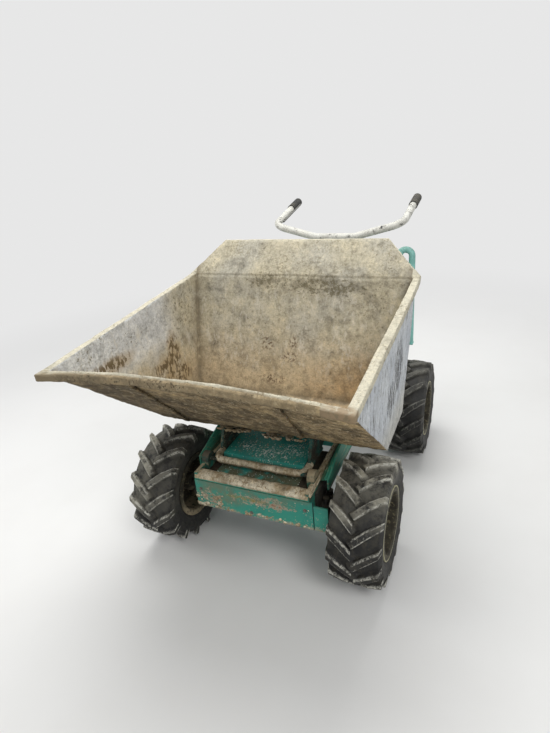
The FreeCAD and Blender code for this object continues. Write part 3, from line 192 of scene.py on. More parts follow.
def feed(tree, socket, value):
    """Links the socket to another node's output, or sets its value."""
    if isinstance(value, bpy.types.NodeSocket):
        tree.links.new(value, socket)
    else:
        socket.default_value = value


def add_node(tree, kind, inputs=None, **settings):
    node = tree.nodes.new(kind)
    for key, value in settings.items():
        setattr(node, key, value)
    for key, value in (inputs or {}).items():
        feed(tree, node.inputs[key], value)
    return node


def add_backdrop(tree, plain, backdrop, share=1.0):
    """The plain shader, but the backdrop, by the share, for the camera and for reflections."""
    rays = add_node(tree, "ShaderNodeLightPath").outputs
    either = {0: rays["Is Camera Ray"], 1: rays["Is Glossy Ray"]}
    seen = add_node(tree, "ShaderNodeMath", either, operation="MAXIMUM")
    mask = add_node(tree, "ShaderNodeMath", {0: seen.outputs[0], 1: share}, operation="MULTIPLY")
    return add_node(tree, "ShaderNodeMixShader", {0: mask.outputs[0], 1: plain, 2: backdrop}).outputs[0]


class Shade:
    """One material, its nodes added by short calls.

    Places are the object's own, in metres, and colours are as a screen shows them, 0 to 255. A layer or
    a tone takes any number of masks, from 0 to 1, and works by their product.
    """

    def __init__(self, name, colour, roughness=0.85, metallic=0.0):
        self.material = bpy.data.materials.new(name)
        self.material.use_nodes = True
        self.tree = self.material.node_tree
        self.shader = self.tree.nodes["Principled BSDF"]
        self.shader.inputs["Metallic"].default_value = metallic
        coordinates = self.add("ShaderNodeTexCoord")
        self.place = coordinates.outputs["Object"]
        self.x, self.y, self.z = self.split(self.place)
        self.facing_z = self.split(coordinates.outputs["Normal"])[2]
        self.colour = rgb(colour)
        self.rough = roughness
        self.height = None

    def add(self, kind, inputs=None, **settings):
        return add_node(self.tree, kind, inputs, **settings)

    def split(self, vector):
        return self.add("ShaderNodeSeparateXYZ", {0: vector}).outputs

    def math(self, operation, one, other=0.0):
        return self.add("ShaderNodeMath", {0: one, 1: other}, operation=operation).outputs[0]

    def joined(self, operation, values):
        return functools.reduce(functools.partial(self.math, operation), values)

    def times(self, *values):
        return self.joined("MULTIPLY", values)

    def plus(self, *values):
        return self.joined("ADD", values)

    def most(self, *values):
        return self.joined("MAXIMUM", values)

    def distance(self, one, other):
        """How far a point is from an axis, from its two offsets."""
        return self.math("SQRT", self.plus(self.times(one, one), self.times(other, other)))

    def noise(self, size, seed, detail=3.0, rough=0.55, stretch=(1, 1, 1), bend=0.0):
        """Soft spots about this many metres wide, as a share from 0 to 1."""
        scaled = self.add("ShaderNodeVectorMath", {0: self.place, 1: stretch}, operation="DIVIDE").outputs[0]
        inputs = {"Vector": scaled, "W": seed, "Scale": 1 / size, "Detail": detail, "Roughness": rough,
                  "Distortion": bend}
        return self.add("ShaderNodeTexNoise", inputs, noise_dimensions="4D").outputs["Fac"]

    def drift(self, size, seed, amount, detail=3.0):
        """Noise about zero, times the amount."""
        return self.times(self.plus(self.noise(size, seed, detail), -0.5), amount)

    def patches(self, size, seed, start, end, *form, **more):
        """Noise cut to patches: 0 up to the start value and 1 from the end value."""
        return self.step(self.noise(size, seed, *form, **more), start, end)

    def cells(self, size, seed):
        """Distance from the nearest of many scattered points, in shares of their spacing."""
        inputs = {"Vector": self.place, "W": seed, "Scale": 1 / size}
        return self.add("ShaderNodeTexVoronoi", inputs, voronoi_dimensions="4D").outputs["Distance"]

    def step(self, value, start, end):
        """0 at the start and 1 at the end, which may be the lower of the two."""
        inputs = {"Value": value, "From Min": min(start, end), "From Max": max(start, end),
                  "To Min": float(end < start), "To Max": float(end > start)}
        return self.add("ShaderNodeMapRange", inputs, interpolation_type="SMOOTHSTEP").outputs["Result"]

    def near(self, *areas):
        """1 at the middle of any area and 0 at its reach along x, y and z."""
        masks = []
        for middle, reach in areas:
            terms = []
            for value, centre, far in zip((self.x, self.y, self.z), middle, reach):
                offset = self.math("DIVIDE", self.math("SUBTRACT", value, centre), far)
                terms.append(self.times(offset, offset))
            masks.append(self.step(self.plus(*terms), 1.0, 0.0))
        return self.most(*masks)

    def stored(self, name):
        """A number kept on the mesh's points."""
        return self.add("ShaderNodeAttribute", attribute_name=name).outputs["Fac"]

    def paint(self, mask, colour, blend_type):
        """Mixes a colour into the one there; sockets 6 and 7 are the mix node's colours."""
        inputs = {"Factor": mask, 6: self.colour, 7: colour}
        self.colour = self.add("ShaderNodeMix", inputs, data_type="RGBA", blend_type=blend_type).outputs[2]

    def tone(self, gain, *masks):
        """Makes what is there lighter or darker."""
        self.paint(self.times(*masks), (gain, gain * 0.985, gain * 0.95, 1), "MULTIPLY")

    def layer(self, colour, *masks, rough=None):
        """Paints over what is there, and changes its roughness if one is given."""
        mask = self.times(*masks)
        self.paint(mask, rgb(colour), "MIX")
        if rough is not None:
            self.rough = self.add("ShaderNodeMix", {"Factor": mask, 2: self.rough, 3: rough}).outputs[0]

    def raise_by(self, mask, height):
        """Adds relief of this many metres where the mask is 1."""
        lift = self.times(mask, height)
        self.height = lift if self.height is None else self.plus(lift, self.height)

    def done(self, grain=None):
        """The material; with a grain, it has the sandy relief of dried cement, this many metres deep."""
        if grain is not None:
            self.raise_by(self.noise(0.009, 5, 5, 0.65), grain * 2)
            self.raise_by(self.noise(0.05, 6), grain * 3)
        inputs = {"Base Color": self.colour, "Roughness": self.rough}
        if self.height is not None:
            inputs["Normal"] = self.add("ShaderNodeBump", {"Distance": 1.0, "Height": self.height}).outputs[0]
        for key, value in inputs.items():
            feed(self.tree, self.shader.inputs[key], value)
        return self.material


def plaster(s, seed, lighter, deeper, share):
    """Patches of a lighter and a deeper tone, from hand-sized to a few millimetres."""
    for size, part in ((0.11, 0.8), (0.045, 0.9), (0.017, 0.8)):
        patch = s.noise(size, seed + size * 100, 7, 0.75)
        s.tone(lighter, s.step(patch, 0.5, 0.66), share * part)
        s.tone(deeper, s.step(patch, 0.5, 0.34), share * part)
    grain = s.noise(0.008, seed + 7, 4, 0.8)
    s.tone(0.84, s.step(grain, 0.5, 0.6), share)
    s.tone(1.14, s.step(grain, 0.48, 0.38), share)


def specks(s, size, share, seed, more=0.0):
    """Small dense spots; a larger share or more gives more of them."""
    spots = s.plus(s.noise(size, seed, 6, 0.72), more, s.drift(size * 14, seed + 1, 0.35, 2))
    return s.step(spots, 0.7 - share, 0.75 - share)


def chips(s, share, seed):
    """Paint knocked off: an edge of pale primer round brown steel."""
    value = s.plus(s.noise(0.012, seed, 5, 0.65), s.drift(0.108, seed + 1, 0.5))
    s.layer((176, 166, 138), s.step(value, 0.72 - share, 0.735 - share), rough=0.9)
    s.layer((112, 84, 62), s.step(value, 0.75 - share, 0.77 - share), rough=0.9)
    s.raise_by(s.step(value, 0.72 - share, 0.74 - share), -0.0004)


def dust(s, colour, strength, seed):
    """Lies on what faces up, thinner on upright faces, in drifts."""
    lying = s.plus(s.times(s.step(s.facing_z, 0.1, 0.9), 0.6), 0.4)
    s.layer(colour, lying, s.patches(0.07, seed, 0.3, 0.7, 5), strength, rough=0.95)


def tub_inside():
    """Dried cement: tan low at the right, grey on the left wall, dark under the crest, brown stains, painted
    shade with dirt in the inner corners.
    """
    s = Shade("tub_inside", (186, 178, 156), 0.92)
    s.layer((178, 173, 158), s.patches(0.17, 1, 0.4, 0.62))
    height = s.plus(s.z, s.drift(0.12, 3, 0.24))
    s.layer((190, 172, 142), s.step(height, 0.92, 0.62), 0.85)
    low_right = s.near(((0.33, -0.19, 0.6), (0.36, 0.3, 0.2)))
    s.layer((192, 164, 126), low_right, s.patches(0.06, 8, 0.3, 0.6, 4), 0.7)
    left_wall = s.times(s.step(s.x, -0.47, -0.5), s.step(height, 0.78, 0.92), s.step(s.y, -0.22, -0.42))
    s.layer((208, 210, 212), left_wall, 0.9)
    plaster(s, 12, 1.24, 0.54, 0.9)
    middle = s.times(s.step(s.z, 1.06, 0.98), s.step(s.z, 0.62, 0.74))
    s.layer((214, 208, 194), s.patches(0.024, 4, 0.52, 0.62, 7, 0.75, (1, 1, 2.6)), middle, 0.55)
    s.tone(0.72, s.patches(0.03, 9, 0.53, 0.64, 7, 0.75, (1, 1, 2)), 0.8)
    band = s.times(s.step(height, 0.94, 1.03), s.step(height, 1.14, 1.06), s.step(s.x, -0.42, 0.05))
    blots = s.near(((-0.17, -0.05, 1.07), (0.1, 0.3, 0.05)), ((0.11, -0.05, 1.045), (0.26, 0.3, 0.06)))
    s.tone(0.62, s.plus(s.times(band, 0.6), s.times(blots, 0.5)), s.patches(0.04, 10, 0.32, 0.6, 6))
    pitted = s.near(((-0.5, -0.25, 0.97), (0.2, 0.3, 0.12)))
    dark = s.plus(s.times(band, 0.05), s.times(blots, 0.11), s.times(pitted, 0.08), -0.02)
    s.layer((98, 90, 66), specks(s, 0.014, 0.08, 11, dark), 0.75)
    crest = s.times(s.step(s.z, 1.04, 1.12), 0.05)
    s.layer((120, 110, 84), specks(s, 0.01, 0.09, 14, crest), 0.55)
    brown = s.near(((-0.5, -0.34, 0.8), (0.2, 0.07, 0.13)), ((-0.5, -0.42, 0.74), (0.2, 0.14, 0.1)),
                   ((-0.5, -0.75, 0.9), (0.2, 0.22, 0.05)), ((-0.5, -0.3, 0.68), (0.2, 0.1, 0.08)))
    s.layer((172, 150, 114), brown, s.patches(0.07, 17, 0.3, 0.6), 0.75)
    blotch = s.plus(s.noise(0.02, 18, 5, 0.6, (1, 0.7, 1.5)), s.times(brown, 0.13))
    s.layer((104, 88, 62), s.step(blotch, 0.6, 0.65), brown)
    rusty = s.near(((-0.13, -0.13, 0.79), (0.05, 0.3, 0.04)), ((-0.015, -0.14, 0.735), (0.06, 0.3, 0.03)),
                   ((-0.1, -0.17, 0.63), (0.09, 0.3, 0.03)), ((0.0, -0.12, 0.8), (0.03, 0.3, 0.04)))
    s.layer((98, 78, 58), rusty, s.patches(0.011, 19, 0.5, 0.56, 5), 0.85)
    # Painted shade with dirt: darker and browner into the inner corners, as shade falls there.
    s.layer((118, 106, 84), s.step(s.stored("corner_shade_and_dirt"), 0.1, 0.9), s.patches(0.03, 20, 0.25, 0.55, 4), 0.75)
    return s.done(grain=0.001)


def tub_outside():
    """Worn pale paint, scratched upright, rubbed dark at the right front."""
    s = Shade("tub_outside", (196, 200, 204), 0.75)
    s.layer((182, 187, 194), s.patches(0.12, 21, 0.4, 0.65))
    s.layer((178, 172, 152), s.step(s.z, 0.74, 0.58), 0.5)
    plaster(s, 26, 1.12, 0.82, 0.7)
    s.layer((112, 111, 108), s.patches(0.014, 22, 0.53, 0.6, 6, 0.72, (1, 0.8, 4), 0.6), 0.85)
    rubbed = s.near(((0.515, -0.35, 0.84), (0.05, 0.12, 0.14)), ((0.51, -0.46, 0.76), (0.05, 0.1, 0.1)))
    deep = s.plus(s.noise(0.016, 23, 6, 0.65, (1, 0.6, 4), 1.2), s.times(rubbed, 0.15))
    s.layer((52, 50, 47), s.step(deep, 0.6, 0.64), 0.9)
    s.layer((140, 132, 116), specks(s, 0.01, 0.08, 24), 0.6)
    return s.done(grain=0.0003)


def tub_under():
    """Thick crust, darker at the left and paler at the lip; a flat view needs its noise long along y."""
    s = Shade("tub_under", (148, 130, 98), 0.95)
    strata = s.noise(0.04, 31, 8, 0.78, (1.1, 2.0, 1), 0.5)
    s.layer((108, 90, 62), s.step(strata, 0.46, 0.6), 0.7)
    blotch = s.noise(0.075, 37, 7, 0.7, (1.2, 1.8, 1), 0.6)
    s.tone(0.46, s.step(blotch, 0.46, 0.56), 0.9)
    s.tone(1.5, s.step(blotch, 0.44, 0.36), 0.9)
    plaster(s, 30, 1.5, 0.5, 1.0)
    s.layer((184, 168, 136), s.patches(0.02, 32, 0.55, 0.6, 7, 0.78, (1, 2, 1)), 0.9)
    s.tone(0.58, s.step(s.plus(s.x, s.times(s.noise(0.2, 33), 0.3)), 0.05, -0.25), 0.75)
    s.tone(1.3, s.step(s.x, 0.05, 0.4), 0.8)
    s.layer((160, 144, 114), s.step(s.plus(s.z, s.times(s.noise(0.05, 34), 0.06)), 0.99, 1.06), 0.5)
    s.layer((60, 50, 36), specks(s, 0.011, 0.13, 35), 0.75)
    s.raise_by(strata, 0.012)
    return s.done(grain=0.0014)


def tub_rim():
    """Pale on top; browner and darker below the lip's edge and on what faces down, as painted shade; chipped
    at the right corner.
    """
    s = Shade("tub_rim", (200, 194, 174), 0.95)
    plaster(s, 40, 1.15, 0.66, 0.8)
    s.layer((116, 102, 76), specks(s, 0.009, 0.12, 42), 0.7)
    # Painted shade: the lower part of the lip's front and the faces turned down are darker and browner.
    bow = s.times(s.plus(s.times(s.x, s.x, -1 / TUB_RIM_HALF ** 2), 1), LIP_BOW)
    below = s.plus(bow, TUB_LIP[1], s.times(s.z, -1), s.times(s.noise(0.03, 43, 4), 0.008))
    s.layer((118, 102, 74), s.step(below, 0.0, 0.008), s.step(s.y, -1.0, -1.02), 0.9)
    s.layer((128, 112, 84), s.step(s.facing_z, 0.1, -0.6), 0.7)
    chip = s.near(((0.5, -1.04, 1.01), (0.07, 0.05, 0.04)))
    s.layer((150, 128, 100), chip, s.patches(0.016, 44, 0.36, 0.5, 5), 0.8)
    return s.done(grain=0.0014)


def tub_back():
    s = Shade("tub_back", (188, 187, 180), 0.8)
    s.layer((172, 168, 156), s.patches(0.14, 51, 0.4, 0.62))
    plaster(s, 55, 1.12, 0.78, 0.8)
    s.layer((140, 132, 114), s.patches(0.022, 52, 0.55, 0.66, 5, stretch=(1, 1, 7)), 0.7)
    s.layer((112, 104, 88), specks(s, 0.01, 0.1, 54), 0.6)
    return s.done(grain=0.0004)


def green_paint(name, chipped=0.06, dusty=0.5, base=(36, 142, 120)):
    s = Shade(name, base, 0.5)
    s.layer(darker(base, 0.75), s.patches(0.11, 61, 0.42, 0.66, 4), 0.7)
    s.layer((92, 150, 128), s.patches(0.02, 62, 0.52, 0.7, 4, stretch=(1, 1, 3)), 0.35)
    dust(s, (140, 132, 110), dusty, 63)
    chips(s, chipped, 64)
    s.layer((196, 190, 168), specks(s, 0.005, 0.08, 66), 0.75, rough=0.95)
    s.raise_by(s.noise(0.006, 67), 0.0002)
    return s.done()


def cover_paint():
    """Green, stained and chipped in the middle and at the left corner, caked low down, with one seam."""
    s = Shade("cover_paint", (38, 142, 122), 0.5)
    s.layer((30, 118, 104), s.patches(0.08, 71, 0.45, 0.65, 4), 0.6)
    s.layer((92, 112, 92), s.step(s.z, 0.372, 0.396), s.patches(0.05, 70, 0.3, 0.6, 4), 0.7)
    stained = s.near(((-0.13, -0.69, 0.35), (0.15, 0.1, 0.07)), ((0.06, -0.69, 0.365), (0.16, 0.1, 0.04)))
    s.layer((112, 110, 86), stained, s.patches(0.045, 77, 0.38, 0.58, 6, 0.7), 0.8, rough=0.8)
    worn = s.noise(0.016, 72, 7, 0.76, (1.4, 1, 1))
    centre = s.near(((0.05, -0.69, 0.35), (0.2, 0.1, 0.042)))
    corner = s.near(((-0.19, -0.69, 0.31), (0.08, 0.1, 0.07)))
    value = s.plus(worn, s.times(centre, 0.14), s.times(corner, 0.15), s.drift(0.09, 73, 0.25))
    s.layer((172, 162, 140), s.step(value, 0.62, 0.65), rough=0.9)
    s.layer((142, 102, 78), s.step(value, 0.7, 0.73), 0.9, rough=0.9)
    yellowed = s.near(((-0.02, -0.69, 0.352), (0.12, 0.1, 0.012)))
    s.layer((140, 134, 62), yellowed, s.step(worn, 0.44, 0.52), 0.7, rough=0.9)
    s.layer((166, 152, 132), s.step(s.z, 0.29, 0.272), s.patches(0.02, 74, 0.44, 0.52, 5), 0.9, rough=0.95)
    s.layer((178, 172, 150), specks(s, 0.009, 0.09, 75), 0.8, rough=0.95)
    s.layer((16, 40, 34), s.near(((0.267, -0.69, 0.33), (0.003, 0.1, 0.5))), rough=0.9)
    s.raise_by(s.step(value, 0.64, 0.67), 0.0008)
    s.raise_by(s.noise(0.006, 76), 0.0002)
    return s.done()


def deck_paint_and_light():
    """Green lighter than the frame's, which is painted light, with dirt low in the trough and round splashes
    of two sizes on the raised middle.
    """
    # Painted light: the base green is lighter than the frame's, for light falling on the deck.
    s = Shade("deck_paint_and_light", (60, 168, 154), 0.45)
    s.layer((44, 146, 142), s.patches(0.1, 81, 0.42, 0.64, 4), 0.7)
    s.layer((104, 92, 64), s.step(s.z, 0.446, 0.42), s.patches(0.05, 84, 0.34, 0.52, 6), 0.9, rough=0.95)
    splash = s.near(((0.02, -0.49, 0.45), (0.14, 0.08, 0.3)), ((0.1, -0.45, 0.45), (0.09, 0.07, 0.3)),
                    ((-0.1, -0.46, 0.45), (0.07, 0.05, 0.3)))
    s.layer((150, 186, 172), splash, s.patches(0.012, 86, 0.44, 0.6, 7, 0.8), 0.5, rough=0.9)
    sizes = []
    for size, seed in ((0.006, 82), (0.011, 85)):
        edge = s.times(s.plus(s.noise(size * 3, seed, 4), s.noise(size * 0.7, seed, 5)), 0.6)
        sizes.append(s.plus(s.times(s.cells(size, seed), -1), s.times(splash, 0.24), edge, -0.36))
    drops = s.step(s.most(*sizes), 0.02, 0.1)
    s.layer((234, 246, 236), drops, rough=0.95)
    s.layer((140, 170, 150), s.patches(0.05, 83, 0.52, 0.66, 5), 0.4, rough=0.9)
    s.raise_by(drops, 0.0005)
    return s.done()


def rail_paint():
    """Green under dirt, cement on the top faces, and the ears dark at the left and caked at the right."""
    s = Shade("rail_paint", (40, 128, 110), 0.55)
    s.layer((74, 72, 56), s.patches(0.06, 91, 0.42, 0.6, 5), 0.8, rough=0.9)
    s.layer((168, 156, 128), s.step(s.z, 0.4, 0.428), s.step(s.facing_z, 0.4, 0.8), rough=0.95)
    s.layer((150, 140, 114), s.patches(0.014, 92, 0.52, 0.6, 4), s.step(s.z, 0.36, 0.43), 0.7, rough=0.95)
    ear = s.step(s.z, 0.434, 0.442)
    s.layer((44, 42, 36), ear, s.step(s.x, 0.05, -0.05), 0.8, rough=0.9)
    s.layer((160, 146, 118), ear, s.step(s.x, -0.05, 0.05), s.patches(0.02, 94, 0.3, 0.5, 5), rough=0.95)
    chips(s, 0.07, 93)
    return s.done(grain=0.0004)


def wing_paint():
    s = Shade("wing_paint", (70, 158, 132), 0.55)
    beside_rail = s.step(s.times(s.x, s.x), 0.078, 0.066)
    s.layer((88, 88, 62), beside_rail, s.patches(0.05, 95, 0.3, 0.5, 5), 0.9, rough=0.9)
    s.layer((176, 184, 156), s.patches(0.012, 96, 0.56, 0.62, 4, stretch=(1, 5, 1)), 0.6, rough=0.9)
    chips(s, 0.05, 97)
    return s.done()


def arm_paint():
    s = Shade("arm_paint", (30, 84, 74), 0.7)
    s.layer((56, 52, 42), s.patches(0.05, 98, 0.36, 0.56, 5), rough=0.95)
    s.layer((150, 138, 112), specks(s, 0.01, 0.14, 99), 0.8, rough=0.95)
    return s.done(grain=0.0005)


def cement():
    s = Shade("cement", (222, 212, 188), 0.96)
    s.layer((164, 144, 108), s.patches(0.07, 107, 0.42, 0.6, 5), 0.7)
    plaster(s, 100, 1.2, 0.55, 1.0)
    s.layer((136, 114, 80), s.patches(0.014, 108, 0.5, 0.58, 8, 0.8), 0.85)
    s.layer((96, 78, 54), specks(s, 0.012, 0.09, 103), 0.7)
    # Painted shade: faces turned down are darker and browner.
    s.layer((112, 94, 66), s.step(s.facing_z, 0.45, -0.3), 0.7)
    return s.done(grain=0.0012)


def grime():
    s = Shade("grime", (58, 50, 38), 0.97)
    plaster(s, 105, 1.5, 0.6, 0.8)
    s.layer((120, 108, 84), specks(s, 0.008, 0.12, 106), 0.6)
    return s.done(grain=0.0012)


def rubber():
    """Black, with dust and painted light on the upper lugs, scuffed lug edges with a painted highlight, and
    grazes; the front tyres have most of it.
    """
    s = Shade("tyre_rubber", (20, 20, 19), 0.72)
    s.layer((38, 37, 33), s.patches(0.05, 111, 0.44, 0.66, 5))
    left = s.step(s.x, 0.0, -0.3)
    front = s.step(s.y, 0.1, -0.2)
    # Painted light with dust: the upper part of each tyre is paler, most on the lug tops, as light from above
    # makes it.
    top = s.step(s.plus(s.z, s.times(left, 0.17), s.drift(0.1, 112, 0.16)), 0.34, 0.5)
    lug = s.stored("lug")
    on_top = s.plus(s.times(lug, 0.62), 0.33)
    bare = s.plus(1, s.times(left, s.step(s.x, -0.48, -0.41), -0.6))
    s.layer((176, 172, 156), top, s.patches(0.035, 113, 0.36, 0.58, 7, 0.75), on_top, bare,
            s.plus(s.times(front, 0.7), 0.15), rough=0.95)
    s.layer((104, 98, 82), s.patches(0.03, 114, 0.48, 0.62, 6, 0.7),
            s.plus(s.times(front, 0.12), 0.08), rough=0.95)
    # Scuffs with a painted highlight: a pale line along the lugs' upper edges.
    edge = s.times(s.step(s.stored("edge"), 0.25, 0.9), s.patches(0.045, 119, 0.34, 0.56, 5, 0.7))
    s.layer((200, 198, 186), edge, s.patches(0.01, 115, 0.4, 0.56, 6, 0.75, bend=0.6),
            s.plus(s.times(front, 0.75), 0.25), rough=0.9)
    s.layer((130, 128, 118), s.patches(0.007, 116, 0.58, 0.66, 5, 0.65, (1, 2, 4), 0.4),
            s.plus(s.times(lug, 0.5), 0.1), rough=0.9)
    s.raise_by(s.noise(0.004, 117, 4), 0.0008)
    s.raise_by(s.noise(0.016, 118, 5), 0.002)
    return s.done()


def rim_paint():
    """Dirty, with a pale ring round the outer edge, and painted light with dirt low inside the barrel."""
    low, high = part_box("rim_front_right")
    middle = (low[0] + high[0]) / 2
    s = Shade("rim_dirty", (62, 58, 44), 0.75)
    s.layer((44, 40, 30), s.patches(0.05, 121, 0.4, 0.62, 5), rough=0.9)
    s.layer((120, 112, 86), s.patches(0.012, 122, 0.54, 0.64, 5), 0.7, rough=0.95)
    out = s.math("ABSOLUTE", s.x)
    up = s.plus(s.z, -AXLE_Z)
    front, rear = [s.distance(s.plus(s.y, -axle_y), up) for _, _, axle_y in WHEELS[::2]]
    ring = s.step(s.math("MINIMUM", front, rear), 0.1405, 0.1425)
    s.layer((186, 182, 148), ring, s.step(out, middle - 0.01, middle + 0.01),
            s.patches(0.03, 123, 0.3, 0.45, 4), 0.9, rough=0.8)
    # Painted light with dirt: the lower inner barrel is tan and lighter, as if lit.
    s.layer((150, 136, 110), s.step(out, middle, middle - 0.03), s.step(s.z, AXLE_Z, AXLE_Z - 0.07),
            s.patches(0.02, 126, 0.34, 0.5, 5), 0.9, rough=0.95)
    chips(s, 0.04, 124)
    s.raise_by(s.noise(0.008, 125, 4), 0.0005)
    return s.done()


def black_paint():
    s = Shade("black_dusty", (40, 40, 38), 0.55)
    s.layer((66, 62, 54), s.patches(0.05, 131, 0.45, 0.65, 5), 0.6, rough=0.8)
    dust(s, (128, 120, 100), 0.55, 132)
    chips(s, 0.03, 133)
    return s.done()


def plain_metal(name, colour, roughness, metallic, dusty=0.3):
    s = Shade(name, colour, roughness, metallic)
    s.layer(darker(colour, 0.72), s.patches(0.04, 141, 0.42, 0.66, 5), 0.6, rough=roughness + 0.1)
    dust(s, (136, 128, 108), dusty, 142)
    s.raise_by(s.noise(0.004, 143, 4), 0.0003)
    return s.done()


def bar_paint():
    """Worn white with dark flecks, most at the right end, and one steel-coloured lever at the left."""
    s = Shade("bar_worn", (206, 205, 197), 0.55)
    plaster(s, 150, 1.08, 0.72, 0.8)
    right_end = s.near(((0.3, 0.6, 1.2), (0.16, 0.2, 0.1)))
    patch = s.plus(s.noise(0.04, 152, 6, 0.7), s.times(right_end, 0.03))
    s.layer((156, 153, 144), s.step(patch, 0.54, 0.61), 0.6, rough=0.6)
    s.layer((52, 51, 49), s.step(patch, 0.6, 0.62), rough=0.6)
    lever = s.times(s.step(s.x, -0.337, -0.335), s.step(s.y, 0.58, 0.6), s.step(s.x, 0.0, -0.1))
    s.layer((92, 90, 84), lever, rough=0.5)
    s.layer((96, 90, 76), specks(s, 0.007, 0.1, 153), 0.8, rough=0.8)
    s.raise_by(s.step(patch, 0.57, 0.62), -0.0003)
    return s.done()


def muffler_steel():
    s = Shade("muffler_heated", (122, 108, 92), 0.45, 0.8)
    s.layer((104, 72, 50), s.patches(0.03, 161, 0.42, 0.62, 5), rough=0.85)
    s.layer((74, 56, 44), s.patches(0.008, 162, 0.55, 0.66, 4), 0.7, rough=0.9)
    s.raise_by(s.noise(0.005, 163, 4), 0.0003)
    return s.done()


def mesh_object(name, points, faces, body, material, smooth_below=None, stored=()):
    """A piece from numbers: its points, faces and any numbers kept on the points."""
    mesh = bpy.data.meshes.new(name)
    mesh.from_pydata([tuple(p) for p in points], [], [tuple(f) for f in faces])
    for key, values in stored:
        mesh.attributes.new(key, "FLOAT", "POINT").data.foreach_set("value", np.asarray(values, "f"))
    mesh.materials.append(material)
    return mesh_piece(name, mesh, body, smooth_below)


def mesh_piece(name, mesh, body, smooth_below=None):
    """A piece from a mesh, smooth across edges of less than so many degrees."""
    if smooth_below is not None:
        mesh.shade_smooth()
        mesh.set_sharp_from_angle(angle=math.radians(smooth_below))
    piece = bpy.data.objects.new(name, mesh)
    bpy.context.scene.collection.objects.link(piece)
    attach(piece, body)
    return piece


def grid_faces(rows, columns):
    """The quads between points that lie row by row."""
    corners = [row * columns + k for row in range(rows - 1) for k in range(columns - 1)]
    return [(a, a + columns, a + columns + 1, a + 1) for a in corners]


def ring_faces(first, rings, count):
    """The quads between closed rings of points that follow one another."""
    faces = []
    for start in range(first, first + (rings - 1) * count, count):
        for k in range(count):
            a, b = start + k, start + (k + 1) % count
            faces.append((a, b, b + count, a + count))
    return faces


def lumps(point, size, seed):
    """Smooth noise from -1 to 1."""
    return noise.noise(point / size + Vector((seed, seed * 0.7, -seed)))


def tub_inner_half(z):
    share = (z - TUB_FLOOR_Z) / (TUB_SHOULDER[1] - TUB_FLOOR_Z)
    return TUB_BOTTOM_HALF + (TUB_TOP_HALF - TUB_BOTTOM_HALF) * share - TUB_WALL


def corner_shade_and_dirt(point):
    """1 in the corners where two of the tub's inner faces meet, fading out from them: where painted shade
    with dirt darkens the tub.
    """
    run = TUB_SHOULDER[0] - TUB_REAR_Y
    rise = TUB_SHOULDER[1] - TUB_FLOOR_Z
    back = TUB_REAR_Y - TUB_WALL + run * (point.z - TUB_FLOOR_Z) / rise - point.y
    side = tub_inner_half(point.z) - abs(point.x)
    floor = point.z - TUB_FLOOR_Z - TUB_WALL
    slope = (TUB_LIP[1] - TUB_FLOOR_Z) / (TUB_LIP[0] - TUB_FRONT_Y)
    front = (point.z - TUB_FLOOR_Z - slope * (point.y - TUB_FRONT_Y)) * 0.75 - TUB_WALL
    gaps = sorted(max(gap, 0) for gap in (back, side, floor, front))
    return math.exp(-gaps[1] / 0.028)


def lip_bow(x):
    """How far the lip's middle part rises over its ends."""
    return LIP_BOW * (1 - (x / TUB_TOP_HALF) ** 2)


def on_rib(centre):
    """Whether a face lies under the front wall, as the ribs do."""
    share = (TUB_FRONT_Y - centre.y) / (TUB_FRONT_Y - TUB_LIP[0])
    wall = TUB_FLOOR_Z + (TUB_LIP[1] - TUB_FLOOR_Z) * share + lip_bow(centre.x) * share
    return centre.z < wall - 0.002 and centre.y < TUB_FRONT_Y + 0.02 and abs(centre.x) < 0.45


def on_rim(centre, normal):
    """Whether a face belongs to the side flanges, the lip or the crest's top."""
    along = (centre.y - TUB_LIP[0]) / (TUB_SHOULDER[0] - TUB_LIP[0])
    rim_top = TUB_LIP[1] + (TUB_SHOULDER[1] - TUB_LIP[1]) * along
    if abs(centre.x) > tub_inner_half(centre.z) - 0.002 and -0.01 < along < 1.01:
        if centre.z > rim_top - TUB_RIM - 0.001 and abs(normal.x) < 0.98:
            return True
        if abs(centre.x) > TUB_TOP_HALF + 0.004:
            return True
    if centre.y < TUB_LIP[0] + 0.016 and centre.z > TUB_LIP[1] - TUB_RIM + lip_bow(centre.x) - 0.004:
        return True
    return centre.z > TUB_SHOULDER[1] and abs(normal.y) < 0.5


def tub_finish(centre, normal):
    """Which of the tub's five finishes a face has."""
    if on_rib(centre):
        return UNDER
    if on_rim(centre, normal):
        return RIM
    if abs(normal.x) > 0.8:
        return OUTSIDE if normal.x * centre.x > 0 else INSIDE
    if normal.z < -0.5 and centre.y < TUB_FRONT_Y + 0.02:
        return UNDER
    if normal.y > 0.5 and centre.y > TUB_REAR_Y - 0.02:
        return BACK
    return BACK if normal.z < -0.5 else INSIDE


def cut_by_planes(mesh, keep, axis, low, high, cell):
    """Cuts the faces that keep() picks by planes across one axis, a cell apart."""
    normal = Vector([float(k == axis) for k in range(3)])
    for place in np.arange(low + cell / 2, high, cell):
        faces = [f for f in mesh.faces if keep(f)]
        edges = {e for f in faces for e in f.edges}
        verts = {v for f in faces for v in f.verts}
        bmesh.ops.bisect_plane(mesh, geom=faces + list(edges) + list(verts), dist=2e-5,
                               plane_co=normal * place, plane_no=normal)


